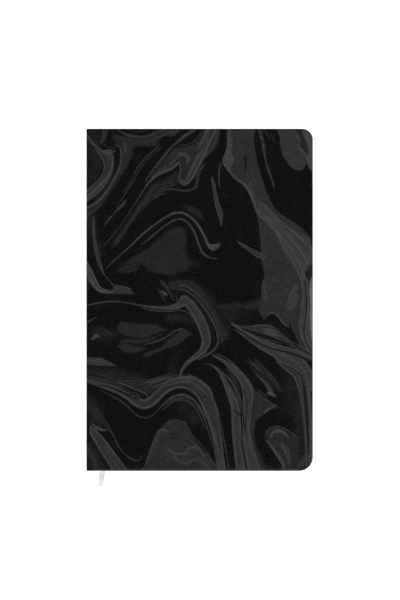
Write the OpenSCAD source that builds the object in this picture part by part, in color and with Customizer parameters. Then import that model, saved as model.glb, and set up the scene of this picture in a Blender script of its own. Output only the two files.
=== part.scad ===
// Case-bound notebook, lying closed on its back cover.
// +X points from the spine to the fore edge, +Y from tail to head, +Z from back cover to front.
// The origin is the middle of the back cover's outer face.

/* [Cover] */
// Width of a cover, from the spine's face to the fore edge
cover_w = 139; // [110:1:180]
// Height of a cover, from tail to head
cover_h = 210; // [160:1:260]
// Radius of the outer corner at the head
head_corner_r = 6.5; // [4:0.5:12]
// Radius of the outer corner at the tail
tail_corner_r = 8.5; // [4:0.5:12]
// Thickness of the board inside each cover
board_t = 1.6; // [1.2:0.1:3]
// Thickness of the printed sheet that wraps the boards
wrap_t = 0.4; // [0.2:0.05:0.5]
// Width of the wrap's turn-in on the inside of a cover
turn_in = 14; // [8:1:20]
// Radius of the wrap over a board's edge
edge_r = 0.7; // [0.6:0.05:0.9]

/* [Text block] */
// Number of sewn sections
sections = 12; // [6:1:16]
// Number of leaves in a section
section_leaves = 8; // [4:2:16]
// Thickness of a leaf
leaf_t = 0.1; // [0.08:0.01:0.15]
// Margin by which the covers stand past the leaves
square_w = 3; // [2:0.5:5]
// Radius of the leaves' outer corners
page_corner_r = 6; // [3:0.5:10]
// Width of the fine groove between two sections on the trimmed edges
groove_w = 0.06; // [0.04:0.01:0.1]
// Depth of that groove
groove_depth = 0.12; // [0.05:0.01:0.2]
// Width over which two round folds merge at the spine
fold_merge = 0.1; // [0.05:0.01:0.2]

/* [Endpapers] */
// Thickness of the endpaper sheet
endpaper_t = 0.15; // [0.1:0.01:0.25]
// Space between the pasted half and the loose half
endpaper_gap = 0.1; // [0.05:0.01:0.3]
// Distance from the back of the folds to the endpaper's own fold
fold_gap = 0.2; // [0.1:0.05:0.5]

/* [Spine] */
// Thickness of the card strip in the spine
spine_card_t = 1; // [0.8:0.1:2]
// Thickness of the lining cloth glued over the sewn folds
lining_t = 0.3; // [0.2:0.05:0.5]
// Reach of that cloth onto each board, from the line that the cover turns on
hinge_cloth_w = 12; // [8:1:20]
// Clearance between the case's spine and the lined folds
lining_gap = 0.1; // [0.05:0.05:0.4]
// Clearance between the spine's turn-in and a cover
cover_gap = 0.2; // [0.1:0.05:0.4]
// Distance by which a board stops short of the line that its cover turns on
board_gap = 0.3; // [0.1:0.1:1]

/* [Bands and marker] */
// Diameter of the bead at the head and tail of the sewn folds
band_d = 1.6; // [1.2:0.1:2.4]
// Height of the band's cloth on the spine
band_flange_h = 8; // [5:1:12]
// Width of the ribbon marker
ribbon_w = 3.5; // [3:0.5:6]
// Thickness of the ribbon marker
ribbon_t = 0.25; // [0.15:0.05:0.3]
// Space over the first leaf in which the ribbon lies
ribbon_gap = 0.35; // [0.35:0.05:0.6]
// Height of the ribbon's middle over the first leaf
ribbon_rise = 0.15; // [0.15:0.01:0.18]
// Height of the ribbon's middle over the table at its cut end
table_rise = 0.2; // [0.16:0.01:0.3]

/* [Hidden] */
$fn = 64;

// Heights of the stack, from the table up
cover_t = board_t + 2 * wrap_t;
endpaper_stack = 2 * endpaper_t + endpaper_gap;
block_t = sections * section_leaves * leaf_t;
block_z = cover_t + endpaper_stack;
book_t = 2 * block_z + block_t + ribbon_gap;

// Places along X. The spine's wrap goes round the card's edge and reaches the cover there,
// and on that line, at the outer face, the cover turns.
spine_r = wrap_t + spine_card_t;
spine_x = -cover_w / 2;
fore_x = cover_w / 2;
hinge_x = spine_x + spine_r;
lining_x = hinge_x + wrap_t + lining_gap;
block_x = lining_x + lining_t;
endpaper_x = block_x + fold_gap;
cloth_x = hinge_x + hinge_cloth_w;

// Leaves and endpapers stop short of the covers by the square
leaf_half_h = cover_h / 2 - square_w;
leaf_right = fore_x - square_w;
window_half_h = cover_h / 2 - turn_in;
section_t = section_leaves * leaf_t;
section_fold_r = (section_t + fold_merge) / 2;
over = 1;

// Middle line of the ribbon. On the leaves each point is its distance from the spine's face
// and its share of the height, from the tail. Past the leaves it is the distances from the
// spine's face and from the tail edge, and the share of the drop to the table.
ribbon_z = block_z + block_t + ribbon_rise;
ribbon_drop = ribbon_z - table_rise;
RIBBON_ON_LEAVES = [
    [3.7, 0.991], [4.0, 0.976], [4.6, 0.952], [5.8, 0.910], [7.1, 0.857], [8.7, 0.790],
    [10.4, 0.714], [12.1, 0.633], [13.7, 0.548], [14.9, 0.462], [15.7, 0.376], [15.9, 0.290],
    [15.4, 0.214], [14.3, 0.143], [12.9, 0.086], [11.6, 0.045], [10.7, 0.024]];
RIBBON_OFF_EDGE = [
    [10.4, -3.4, 0.996], [10.2, -2.3, 0.968], [10.1, -1.6, 0.899], [10.05, -1.1, 0.785],
    [10, -0.7, 0.648], [9.9, -0.2, 0.486], [9.8, 0.3, 0.340], [9.7, 0.9, 0.211],
    [9.55, 1.6, 0.105], [9.35, 2.5, 0.036], [9.1, 3.7, 0.006], [8.8, 5.2, 0], [8.35, 7.3, 0],
    [7.85, 9.7, 0]];
RIBBON_ROUTE = concat(
    [for (p = RIBBON_ON_LEAVES) [spine_x + p[0], (p[1] - 0.5) * cover_h, ribbon_z]],
    [for (p = RIBBON_OFF_EDGE) [spine_x + p[0], -cover_h / 2 - p[1], table_rise + p[2] * ribbon_drop]]);

// A slab's section, from the origin out to an edge with two small rounds
module edge_section(reach, height, r) {
    translate([0, -height / 2]) square([reach - r, height]);
    translate([0, -height / 2 + r]) square([reach, height - 2 * r]);
    intersection() {
        for (side = [-1, 1])
            translate([reach - r, side * (height / 2 - r)]) circle(r);
        translate([0, -height / 2]) square([reach, height]);
    }
}

// Outline of a leaf in the plane, square at the spine and round at the fore edge
module leaf_outline(left, right, half_h, r) {
    translate([left, -half_h]) square([right - left - r, 2 * half_h]);
    translate([left, r - half_h]) square([right - left, 2 * (half_h - r)]);
    for (side = [-1, 1])
        translate([right - r, side * (half_h - r)]) circle(r);
}

// A cover's plate, drawn about its middle plane and taken in by inset on its faces and edges.
// It starts square at left and has round edges on the other three sides.
module cover_plate(inset, left) {
    t = cover_t - 2 * inset;
    r = edge_r - inset;
    half_h = cover_h / 2 - inset;
    right = fore_x - inset;
    r_head = head_corner_r - inset;
    r_tail = tail_corner_r - inset;
    translate([right - r_head, half_h - r_head, 0]) rotate_extrude() edge_section(r_head, t, r);
    translate([right - r_tail, r_tail - half_h, 0]) rotate_extrude() edge_section(r_tail, t, r);
    translate([left, 0, 0]) rotate([90, 0, 90])
        linear_extrude(right - r_head - left) edge_section(half_h, t, r);
    translate([left, 0, 0]) mirror([0, 1, 0]) rotate([90, 0, 90])
        linear_extrude(right - r_tail - left) edge_section(half_h, t, r);
    translate([left, half_h - r_head, 0]) rotate([90, 0, 0])
        linear_extrude(2 * half_h - r_head - r_tail) edge_section(right - left, t, r);
}

// Puts a cover's piece in place: the back one as drawn, the front one turned over at the top
module at_back() { translate([0, 0, cover_t / 2]) children(); }
module at_front() { translate([0, 0, book_t - cover_t / 2]) mirror([0, 0, 1]) children(); }

// The printed sheet on a board: outer face, round edges, and turn-ins on three sides inside
module cover_wrap() {
    difference() {
        cover_plate(0, hinge_x);
        cover_plate(wrap_t, hinge_x);
        translate([hinge_x - over, -window_half_h, 0])
            cube([fore_x - turn_in - hinge_x + over, 2 * window_half_h, cover_t]);
    }
}

module cover_board() { cover_plate(wrap_t, hinge_x + board_gap); }

// The part of the lining cloth that is glued to a board, level with the turn-ins around it
module hinge_cloth() {
    left = hinge_x + board_gap;
    translate([left, -window_half_h, cover_t / 2 - wrap_t])
        cube([cloth_x - left, 2 * window_half_h, wrap_t]);
}

// A folded sheet. One half is pasted over cloth and turn-ins and down onto the board
// between them, and the other half is loose.
module endpaper() {
    face = cover_t / 2;
    r = endpaper_stack / 2;
    left = endpaper_x + r;
    window_w = fore_x - turn_in - cloth_x;
    window_h = 2 * window_half_h;
    difference() {
        union() {
            translate([0, 0, face]) linear_extrude(endpaper_t)
                leaf_outline(left, leaf_right, leaf_half_h, page_corner_r);
            translate([cloth_x, -window_half_h, face - wrap_t]) cube([window_w, window_h, wrap_t]);
        }
        translate([cloth_x + endpaper_t, endpaper_t - window_half_h, face - wrap_t + endpaper_t])
            cube([window_w - 2 * endpaper_t, window_h - 2 * endpaper_t, wrap_t + over]);
    }
    translate([0, 0, face + endpaper_t + endpaper_gap]) linear_extrude(endpaper_t)
        leaf_outline(left, leaf_right, leaf_half_h, page_corner_r);
    // The fold along the spine
    translate([left, leaf_half_h, face + r]) rotate([90, 0, 0]) linear_extrude(2 * leaf_half_h)
        difference() {
            circle(r);
            circle(r - endpaper_t);
            translate([0, -r]) square([r, 2 * r]);
        }
}

module front_wrap() { color([0.1, 0.1, 0.1]) at_front() cover_wrap(); }
module front_board() { color([0.6, 0.58, 0.54]) at_front() cover_board(); }
module front_hinge_cloth() { color([0.9, 0.89, 0.85]) at_front() hinge_cloth(); }
module front_endpaper() { color([0.96, 0.96, 0.97]) at_front() endpaper(); }
module back_wrap() { color([0.1, 0.1, 0.1]) at_back() cover_wrap(); }
module back_board() { color([0.6, 0.58, 0.54]) at_back() cover_board(); }
module back_hinge_cloth() { color([0.9, 0.89, 0.85]) at_back() hinge_cloth(); }
module back_endpaper() { color([0.96, 0.96, 0.97]) at_back() endpaper(); }

// The spine of the case, taken in by inset: two long round edges that end at the covers,
// and round edges at head and tail
module spine_form(inset) {
    r = spine_r - inset;
    intersection() {
        union() {
            for (z = [spine_r, book_t - spine_r])
                translate([hinge_x, 0, z]) rotate([90, 0, 0]) cylinder(r = r, h = cover_h, center = true);
            translate([hinge_x - r, -cover_h / 2, spine_r]) cube([r, cover_h, book_t - 2 * spine_r]);
        }
        translate([hinge_x, 0, 0]) mirror([1, 0, 0]) linear_extrude(book_t)
            edge_section(r, cover_h - 2 * inset, edge_r - inset);
    }
}

// The printed sheet round the spine's card, with its turn-ins at head and tail
module spine_wrap() {
    turn_in_z = cover_t + cover_gap;
    color([0.1, 0.1, 0.1]) {
        difference() {
            spine_form(0);
            spine_form(wrap_t);
        }
        for (side = [-1, 1])
            translate([hinge_x, side * (cover_h - turn_in) / 2 - turn_in / 2, turn_in_z])
                cube([wrap_t, turn_in, book_t - 2 * turn_in_z]);
    }
}

module spine_card() { color([0.6, 0.58, 0.54]) spine_form(wrap_t); }

module spine_lining() {
    half_h = leaf_half_h - band_flange_h;
    color([0.9, 0.89, 0.85]) translate([lining_x, -half_h, block_z])
        cube([lining_t, 2 * half_h, block_t]);
}

// The sewn and trimmed leaves: a round fold for each section at the spine,
// and a fine groove between sections on the three cut edges
module page_block() {
    left = block_x + section_fold_r;
    core_half_h = leaf_half_h - groove_depth;
    color([0.96, 0.96, 0.94]) {
        translate([0, 0, block_z]) linear_extrude(block_t)
            leaf_outline(left, leaf_right - groove_depth, core_half_h, page_corner_r - groove_depth);
        for (i = [0 : sections - 1]) {
            below = i == 0 ? 0 : groove_w / 2;
            above = i == sections - 1 ? 0 : groove_w / 2;
            translate([0, 0, block_z + i * section_t + below])
                linear_extrude(section_t - below - above)
                    leaf_outline(left, leaf_right, leaf_half_h, page_corner_r);
        }
        intersection() {
            for (i = [0 : sections - 1])
                translate([left, 0, block_z + (i + 0.5) * section_t]) rotate([90, 0, 0])
                    cylinder(r = section_fold_r, h = 2 * core_half_h, center = true);
            translate([block_x, -cover_h / 2, block_z])
                cube([2 * section_fold_r, cover_h, block_t]);
        }
    }
}

// A band: a bead on the ends of the folds, and the cloth that holds it to the spine
module band() {
    translate([lining_x + band_d / 2, leaf_half_h + band_d / 2, block_z])
        cylinder(d = band_d, h = block_t);
    translate([lining_x, leaf_half_h - band_flange_h, block_z])
        cube([lining_t, band_flange_h + band_d / 2, block_t]);
}

module head_band() { color([0.88, 0.88, 0.88]) band(); }
module tail_band() { color([0.88, 0.88, 0.88]) mirror([0, 1, 0]) band(); }

// Direction of a route at point i, as a unit vector
function along(p, i) =
    let (a = p[max(i - 1, 0)], b = p[min(i + 1, len(p) - 1)])
    (b - a) / norm(b - a);

// Level direction across a route at point i
function across(p, i) =
    let (d = along(p, i), c = [-d[1], d[0], 0])
    c / norm(c);

// Flat eight-sided section of a ribbon: points across and through it
function ribbon_section(w, t) = [
    for (side = [1, -1]) each [
        [side * (w / 2 - t), side * -t / 2], [side * w / 2, side * -t / 4],
        [side * w / 2, side * t / 4], [side * (w / 2 - t), side * t / 2]]];

module ribbon_marker() {
    section = ribbon_section(ribbon_w, ribbon_t);
    n = len(section);
    last = len(RIBBON_ROUTE) - 1;
    points = [
        for (i = [0 : last])
            let (side = across(RIBBON_ROUTE, i), up = cross(along(RIBBON_ROUTE, i), side))
            for (q = section) RIBBON_ROUTE[i] + q[0] * side + q[1] * up];
    skin = [
        for (i = [0 : last - 1], k = [0 : n - 1])
            let (a = i * n + k, b = i * n + (k + 1) % n)
            each [[a, b, b + n], [a, b + n, a + n]]];
    ends = [
        [for (k = [n - 1 : -1 : 0]) k],
        [for (k = [0 : n - 1]) last * n + k]];
    color([0.92, 0.92, 0.92]) polyhedron(points, concat(skin, ends));
}

front_wrap();
front_board();
front_hinge_cloth();
front_endpaper();
back_wrap();
back_board();
back_hinge_cloth();
back_endpaper();
spine_wrap();
spine_card();
spine_lining();
page_block();
head_band();
tail_band();
ribbon_marker();
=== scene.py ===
# %% [markdown]
# # A marbled, case-bound notebook
# The object is a sewn notebook in a stiff case. One printed sheet wraps two boards and a strip of
# card. Inside are ninety-six ruled leaves, an endpaper on each side and a pale ribbon marker.
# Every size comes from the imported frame, in metres, so that each piece lands on its CAD part.

# %% The frame
import math
import random

import bmesh
import bpy
import numpy as np
from mathutils import Matrix, Vector


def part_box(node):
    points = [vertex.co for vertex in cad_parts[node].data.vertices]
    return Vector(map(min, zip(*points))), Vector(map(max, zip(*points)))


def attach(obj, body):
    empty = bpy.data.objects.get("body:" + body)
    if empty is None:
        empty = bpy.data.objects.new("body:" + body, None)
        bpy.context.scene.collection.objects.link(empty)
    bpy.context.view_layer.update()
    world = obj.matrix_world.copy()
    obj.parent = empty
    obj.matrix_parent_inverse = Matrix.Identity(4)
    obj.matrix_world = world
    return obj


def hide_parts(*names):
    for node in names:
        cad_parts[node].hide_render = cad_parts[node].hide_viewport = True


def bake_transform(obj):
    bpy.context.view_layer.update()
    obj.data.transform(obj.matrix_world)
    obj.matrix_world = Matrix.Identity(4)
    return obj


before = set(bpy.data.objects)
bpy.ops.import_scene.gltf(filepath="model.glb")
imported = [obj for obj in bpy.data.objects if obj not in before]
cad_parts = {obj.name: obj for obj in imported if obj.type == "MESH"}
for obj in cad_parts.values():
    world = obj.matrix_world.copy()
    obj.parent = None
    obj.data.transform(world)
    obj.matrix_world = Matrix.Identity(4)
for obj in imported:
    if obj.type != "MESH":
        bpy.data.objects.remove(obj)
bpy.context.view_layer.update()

MM = 0.001
print("nodes", len(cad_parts))

# %% [markdown]
# A camera that looks straight down flattens a book to its cover, so the lens and the height decide
# everything. A long lens keeps the sides of the book hidden. The lens follows from how much the
# upright picture shows, from its top to its bottom, at the level of the cover.

# %% The camera
COVER_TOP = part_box("front_wrap")[1].z
CAMERA_HEIGHT = 1.5
CAMERA_PLACE = (0.25 * MM, -0.1 * MM, CAMERA_HEIGHT)
SHOWN_HEIGHT = 368.1 * MM
SENSOR = 36.0

camera_data = bpy.data.cameras.new("camera")
camera_data.sensor_width = SENSOR
camera_data.lens = SENSOR * (CAMERA_HEIGHT - COVER_TOP) / SHOWN_HEIGHT
camera = bpy.data.objects.new("camera", camera_data)
bpy.context.collection.objects.link(camera)
camera.location = CAMERA_PLACE
bpy.context.scene.camera = camera
print(f"lens {camera_data.lens:.1f} mm")

# %% [markdown]
# Blender's operators act on whatever is selected. These helpers clear the selection first, start a
# primitive at its real size, pick vertices, edges or faces by a test on their place, and put a
# finished object back at the origin with its place in its mesh.

# %% Selecting, and starting a piece
def select_only(*objects):
    if bpy.context.object and bpy.context.object.mode != "OBJECT":
        bpy.ops.object.mode_set(mode="OBJECT")
    bpy.ops.object.select_all(action="DESELECT")
    for item in objects:
        item.select_set(True)
    bpy.context.view_layer.objects.active = objects[0]


def settle(piece):
    """Put the object's place, turn and size into its mesh."""
    select_only(piece)
    bpy.ops.object.transform_apply(location=True, rotation=True, scale=True)
    return piece


def started(name):
    """Name the primitive that was just added and put its size into its mesh."""
    piece = bpy.context.object
    piece.name = name
    piece.data.name = name
    return settle(piece)

# %% Edit mode
# Points closer than this to a line lie on it
CLOSE = 1e-6


def edit(piece):
    select_only(piece)
    bpy.ops.object.mode_set(mode="EDIT")
    bpy.ops.mesh.select_all(action="SELECT")


def finish_edit():
    bpy.ops.object.mode_set(mode="OBJECT")


def pick(piece, kind, test):
    """In edit mode, select only the vertices, edges or faces whose middle passes the test."""
    mesh = bmesh.from_edit_mesh(piece.data)
    bpy.ops.mesh.select_all(action="DESELECT")
    bpy.ops.mesh.select_mode(type=kind)
    if kind == "VERT":
        for vertex in mesh.verts:
            vertex.select = test(vertex.co)
    elif kind == "EDGE":
        for edge in mesh.edges:
            edge.select = test((edge.verts[0].co + edge.verts[1].co) / 2)
    else:
        for face in mesh.faces:
            face.select = test(face.calc_center_median())
    mesh.select_flush_mode()
    bmesh.update_edit_mesh(piece.data)

# %% Modifiers, points and finished surfaces
def apply_modifier(piece, kind, **values):
    select_only(piece)
    modifier = piece.modifiers.new(kind.title(), kind)
    for key, value in values.items():
        setattr(modifier, key, value)
    bpy.ops.object.modifier_apply(modifier=modifier.name)


def get_points(piece):
    flat = np.zeros(3 * len(piece.data.vertices))
    piece.data.vertices.foreach_get("co", flat)
    return flat.reshape(-1, 3)


def set_points(piece, points):
    piece.data.vertices.foreach_set("co", np.asarray(points, float).ravel())
    piece.data.update()


def outward(piece, merge=1e-7):
    """Merge doubles and turn every face outwards."""
    edit(piece)
    bpy.ops.mesh.remove_doubles(threshold=merge)
    bpy.ops.mesh.normals_make_consistent(inside=False)
    finish_edit()


def smooth(piece, degrees=30):
    select_only(piece)
    bpy.ops.object.shade_smooth_by_angle(angle=math.radians(degrees))

# %% What a piece measures
def triangles(piece):
    return sum(len(face.vertices) - 2 for face in piece.data.polygons)


def open_edges(piece):
    mesh = bmesh.new()
    mesh.from_mesh(piece.data)
    count = sum(1 for edge in mesh.edges if len(edge.link_faces) != 2)
    mesh.free()
    return count


def report(piece):
    size = (get_points(piece).max(0) - get_points(piece).min(0)) / MM
    print(f"{piece.name}: {size[0]:.2f} x {size[1]:.2f} x {size[2]:.2f} mm,",
          f"{triangles(piece)} triangles, {open_edges(piece)} open edges")

# %% [markdown]
# The marker is a flat woven satin tape, one tape from the head of the spine to its cut end on the
# table. It lies on the first leaf under the cover, comes out at the tail and drops over the edge.
# A grid has the right rows for this: each row is laid square to a smooth route, so the tape keeps
# its width round every bend, and Solidify gives it its thickness.

# %% The route of the ribbon
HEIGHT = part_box("front_wrap")[1].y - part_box("front_wrap")[0].y
SPINE_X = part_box("spine_wrap")[0].x
RIBBON_W = 3.5 * MM
RIBBON_T = 0.25 * MM
# The tape is a little thinner than its CAD solid, and so lies inside it
TAPE_T = RIBBON_T * 0.9
PAGE_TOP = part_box("page_block")[1].z
RIBBON_Z = PAGE_TOP + 0.15 * MM
TABLE_RISE = 0.2 * MM

# Distance from the spine's face in mm, and share of the height from the tail
RIBBON_ON_LEAVES = [
    (3.7, 0.991), (4.0, 0.976), (4.6, 0.952), (5.8, 0.910), (7.1, 0.857), (8.7, 0.790),
    (10.4, 0.714), (12.1, 0.633), (13.7, 0.548), (14.9, 0.462), (15.7, 0.376), (15.9, 0.290),
    (15.4, 0.214), (14.3, 0.143), (12.9, 0.086), (11.6, 0.045), (10.7, 0.024)]
# Distances from the spine's face and past the tail edge in mm, and share of the drop
RIBBON_OFF_EDGE = [
    (10.4, -3.4, 0.996), (10.2, -2.3, 0.968), (10.1, -1.6, 0.899), (10.05, -1.1, 0.785),
    (10, -0.7, 0.648), (9.9, -0.2, 0.486), (9.8, 0.3, 0.340), (9.7, 0.9, 0.211),
    (9.55, 1.6, 0.105), (9.35, 2.5, 0.036), (9.1, 3.7, 0.006), (8.8, 5.2, 0), (8.35, 7.3, 0),
    (7.85, 9.7, 0)]
RIBBON_ROUTE = [
    (SPINE_X + x * MM, (share - 0.5) * HEIGHT, RIBBON_Z) for x, share in RIBBON_ON_LEAVES]
RIBBON_ROUTE += [
    (SPINE_X + x * MM, -HEIGHT / 2 - past * MM, TABLE_RISE + share * (RIBBON_Z - TABLE_RISE))
    for x, past, share in RIBBON_OFF_EDGE]

# %% A smooth curve through points
def curve_through(points, step):
    """Points on a Catmull-Rom curve through the given ones, about a step apart."""
    given = np.array(points, float)
    padded = np.vstack([2 * given[0] - given[1], given, 2 * given[-1] - given[-2]])
    parts = []
    for a, b, c, d in zip(padded, padded[1:], padded[2:], padded[3:]):
        count = max(2, int(np.linalg.norm((c - b)[:2]) / step))
        t = np.linspace(0, 1, count, endpoint=False)[:, None]
        parts.append(0.5 * (2 * b + (c - a) * t + (2 * a - 5 * b + 4 * c - d) * t**2
                            + (3 * b - a - 3 * c + d) * t**3))
    return np.vstack(parts + [given[-1:]])

# %% The ribbon
RIBBON_COLUMNS = 10
RIBBON_STEP = 1.2 * MM
RIBBON_END_Y = -HEIGHT / 2 - 10.9 * MM


def lay_ribbon():
    beyond = tuple(2 * last - before for last, before in zip(RIBBON_ROUTE[-1], RIBBON_ROUTE[-2]))
    route = curve_through(RIBBON_ROUTE + [beyond], RIBBON_STEP)
    route[:, 2] = np.maximum(route[:, 2], TABLE_RISE)
    rows = len(route)
    bpy.ops.mesh.primitive_grid_add(x_subdivisions=RIBBON_COLUMNS, y_subdivisions=rows - 1, size=1)
    ribbon = started("ribbon")
    points = get_points(ribbon)
    across = points[:, 0] * RIBBON_W
    row = np.rint((points[:, 1] + 0.5) * (rows - 1)).astype(int)
    heading = np.gradient(route, axis=0)
    heading /= np.linalg.norm(heading, axis=1)[:, None]
    level = np.stack([-heading[:, 1], heading[:, 0], np.zeros(rows)], 1)
    level /= np.linalg.norm(level, axis=1)[:, None]
    run = np.concatenate([[0], np.cumsum(np.linalg.norm(np.diff(route, axis=0), axis=1))])
    set_points(ribbon, route[row] + level[row] * across[:, None])
    return ribbon, across, run[row]


ribbon, ribbon_across, ribbon_run = lay_ribbon()

# %% Its weave follows its length
def give_uv(piece, u, v):
    """A UV map for the weave from two numbers per vertex, in millimetres."""
    layer = piece.data.uv_layers.new(name="weave")
    corner = np.zeros(len(piece.data.loops), int)
    piece.data.loops.foreach_get("vertex_index", corner)
    layer.data.foreach_set("uv", np.stack([u[corner], v[corner]], 1).ravel())


give_uv(ribbon, ribbon_across / MM, ribbon_run / MM)

# %% Scissors cut its end level with the book, and it gets its thickness
edit(ribbon)
bpy.ops.mesh.bisect(plane_co=(0, RIBBON_END_Y, 0), plane_no=(0, -1, 0), clear_outer=True)
finish_edit()
apply_modifier(ribbon, "SOLIDIFY", thickness=TAPE_T, offset=0)
outward(ribbon)
smooth(ribbon, 40)
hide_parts("ribbon_marker")
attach(ribbon, "block")
report(ribbon)

# %% [markdown]
# The printed sheet of a case is glued to the board, turned over its edges and pasted down inside.
# The face starts as a fine grid, because the marbling is painted on its vertices later. Bisecting
# rounds the two fore corners. The open rim is then extruded step by step round the board's edge,
# in to the end of the turn-in, and back again under the sheet, which makes a closed shell.

# %% Sizes of the case
COVER_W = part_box("front_wrap")[1].x - SPINE_X
COVER_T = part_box("back_wrap")[1].z
FORE_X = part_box("front_wrap")[1].x
HINGE_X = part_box("front_wrap")[0].x
SPINE_R = HINGE_X - SPINE_X
SHEET_T = 0.4 * MM
EDGE_R = 0.7 * MM
TURN_IN = 14 * MM
HEAD_CORNER_R = 6.5 * MM
TAIL_CORNER_R = 8.5 * MM
CELL = 0.65 * MM
print(f"cover {COVER_W / MM:.1f} x {HEIGHT / MM:.1f} x {COVER_T / MM:.1f} mm, book {COVER_TOP / MM:.2f}")

# %% The flat face, with its fore corners cut round
FACE_RIGHT = FORE_X - EDGE_R
FACE_HALF = HEIGHT / 2 - EDGE_R
# Middle of each round corner and its radius on the flat face
CORNERS = [(FACE_RIGHT - radius, side * (FACE_HALF - radius), radius)
           for side, radius in ((1, HEAD_CORNER_R - EDGE_R), (-1, TAIL_CORNER_R - EDGE_R))]


def flat_face(name, face_z):
    width, height = FACE_RIGHT - HINGE_X, 2 * FACE_HALF
    bpy.ops.mesh.primitive_grid_add(
        x_subdivisions=round(width / CELL), y_subdivisions=round(height / CELL), size=1,
        location=((HINGE_X + FACE_RIGHT) / 2, 0, face_z))
    bpy.context.object.scale = (width, height, 1)
    return started(name)


def round_corners(sheet, face_z, cuts=9):
    edit(sheet)
    for x, y, radius in CORNERS:
        side = math.copysign(1, y)
        for k in range(cuts):
            angle = math.radians(90 * (k + 0.5) / cuts)
            normal = (math.cos(angle), side * math.sin(angle), 0)
            reach = radius * math.cos(math.radians(45 / cuts))
            pick(sheet, "FACE", lambda c: c.x > x - MM and side * c.y > side * y - MM)
            bpy.ops.mesh.bisect(plane_co=(x + reach * normal[0], y + reach * normal[1], face_z),
                                plane_no=normal, clear_outer=True)
    finish_edit()

# %% The rim, round the board and back
QUARTER = [math.radians(90 * k / 5) for k in range(1, 6)]
# Each step is how far out from the flat face, and how deep below the outer face
OVER_EDGE = [(EDGE_R * math.sin(a), EDGE_R * (1 - math.cos(a))) for a in QUARTER]


def rim_steps():
    """Steps round the outside of the board's edge, and steps back under the sheet."""
    back = [(EDGE_R * math.cos(a), COVER_T - EDGE_R * (1 - math.sin(a))) for a in QUARTER]
    r = EDGE_R - SHEET_T
    under_out = [(r * math.sin(a), COVER_T - SHEET_T - r * (1 - math.cos(a))) for a in QUARTER]
    under_back = [(r * math.cos(a), SHEET_T + r * (1 - math.sin(a))) for a in QUARTER]
    over = OVER_EDGE + [(EDGE_R, COVER_T - EDGE_R)] + back
    return over, [(0, COVER_T - SHEET_T)] + under_out + under_back

# %% Which way is out
def outline_normals(points):
    """Direction out of the flat face's outline at points on it."""
    normals = np.zeros((len(points), 2))
    on_fore = points[:, 0] > FACE_RIGHT - CLOSE
    normals[on_fore] = (1, 0)
    ends = np.abs(points[:, 1]) > FACE_HALF - CLOSE
    normals[ends, 0] = 0
    normals[ends, 1] = np.sign(points[ends, 1])
    for x, y, _ in CORNERS:
        rel = points[:, :2] - (x, y)
        inside = (rel[:, 0] > 0) & (rel[:, 1] * math.copysign(1, y) > 0)
        normals[inside] = rel[inside] / np.linalg.norm(rel[inside], axis=1)[:, None]
    return normals

# %% Wrapping the rim
def wrap_rim(sheet, face_z, down):
    select_only(sheet)
    bpy.ops.object.mode_set(mode="EDIT")
    bpy.ops.mesh.select_mode(type="EDGE")
    bpy.ops.mesh.select_all(action="DESELECT")
    mesh = bmesh.from_edit_mesh(sheet.data)
    for edge in mesh.edges:
        at_hinge = all(vertex.co.x < HINGE_X + CLOSE for vertex in edge.verts)
        edge.select = edge.is_boundary and not at_hinge
    mesh.select_flush_mode()
    bmesh.update_edit_mesh(sheet.data)
    start = np.array([v.co for v in mesh.verts if v.select])
    normal = outline_normals(start)
    window_low = (-math.inf, TURN_IN - HEIGHT / 2)
    window_high = (FORE_X - TURN_IN, HEIGHT / 2 - TURN_IN)
    window = np.clip(start[:, :2], window_low, window_high)
    over, under = rim_steps()
    rings = [(start[:, :2] + normal * out, depth) for out, depth in over]
    rings += [(window, COVER_T), (window, COVER_T - SHEET_T)]
    rings += [(start[:, :2] + normal * out, depth) for out, depth in under]
    for place, depth in rings:
        bpy.ops.mesh.extrude_edges_move()
        mesh = bmesh.from_edit_mesh(sheet.data)
        moved = [v for v in mesh.verts if v.select]
        for vertex, spot in zip(moved, place):
            vertex.co = (spot[0], spot[1], face_z + down * depth)
        bmesh.update_edit_mesh(sheet.data)
    bpy.ops.mesh.edge_face_add()
    bpy.ops.mesh.select_all(action="DESELECT")
    bpy.ops.mesh.select_non_manifold(extend=False, use_wire=False, use_boundary=True,
                                     use_multi_face=False, use_non_contiguous=False, use_verts=False)
    bpy.ops.mesh.edge_face_add()
    finish_edit()

# %% Both cover sheets
def cover_sheet(name, face_z, down, node, body):
    sheet = flat_face(name, face_z)
    round_corners(sheet, face_z)
    wrap_rim(sheet, face_z, down)
    outward(sheet)
    smooth(sheet, 25)
    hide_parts(node)
    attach(sheet, body)
    report(sheet)
    return sheet


front_sheet = cover_sheet("front_sheet", COVER_TOP, -1, "front_wrap", "front_cover")
back_sheet = cover_sheet("back_sheet", 0.0, 1, "back_wrap", "back_cover")

# %% [markdown]
# Round the spine the same sheet bends over the card's two long edges. A flat strip, as wide as the
# way round, is rolled into that section. It meets each cover on the line that the cover turns on,
# so the case stays whole when it opens. At head and tail the strip is extruded over the card's end,
# and Solidify makes it a sheet. Two thin flaps are its turn-ins behind the card.

# %% The section of the spine
ARC = math.pi / 2 * SPINE_R
FLAT = COVER_TOP - 2 * SPINE_R
GIRTH = 2 * ARC + FLAT


def spine_section(run, depth):
    """Place in X and Z at a run round the spine from the front hinge line, at a depth below the face."""
    angle_top = np.clip(run, 0, ARC) / SPINE_R
    angle_low = np.clip(run - ARC - FLAT, 0, ARC) / SPINE_R
    flat = np.clip(run - ARC, 0, FLAT)
    angle = angle_top + angle_low
    radius = max(SPINE_R - depth, 0)
    x = HINGE_X - radius * np.sin(angle)
    z = COVER_TOP - SPINE_R - flat + radius * np.cos(angle)
    return x, z

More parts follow.
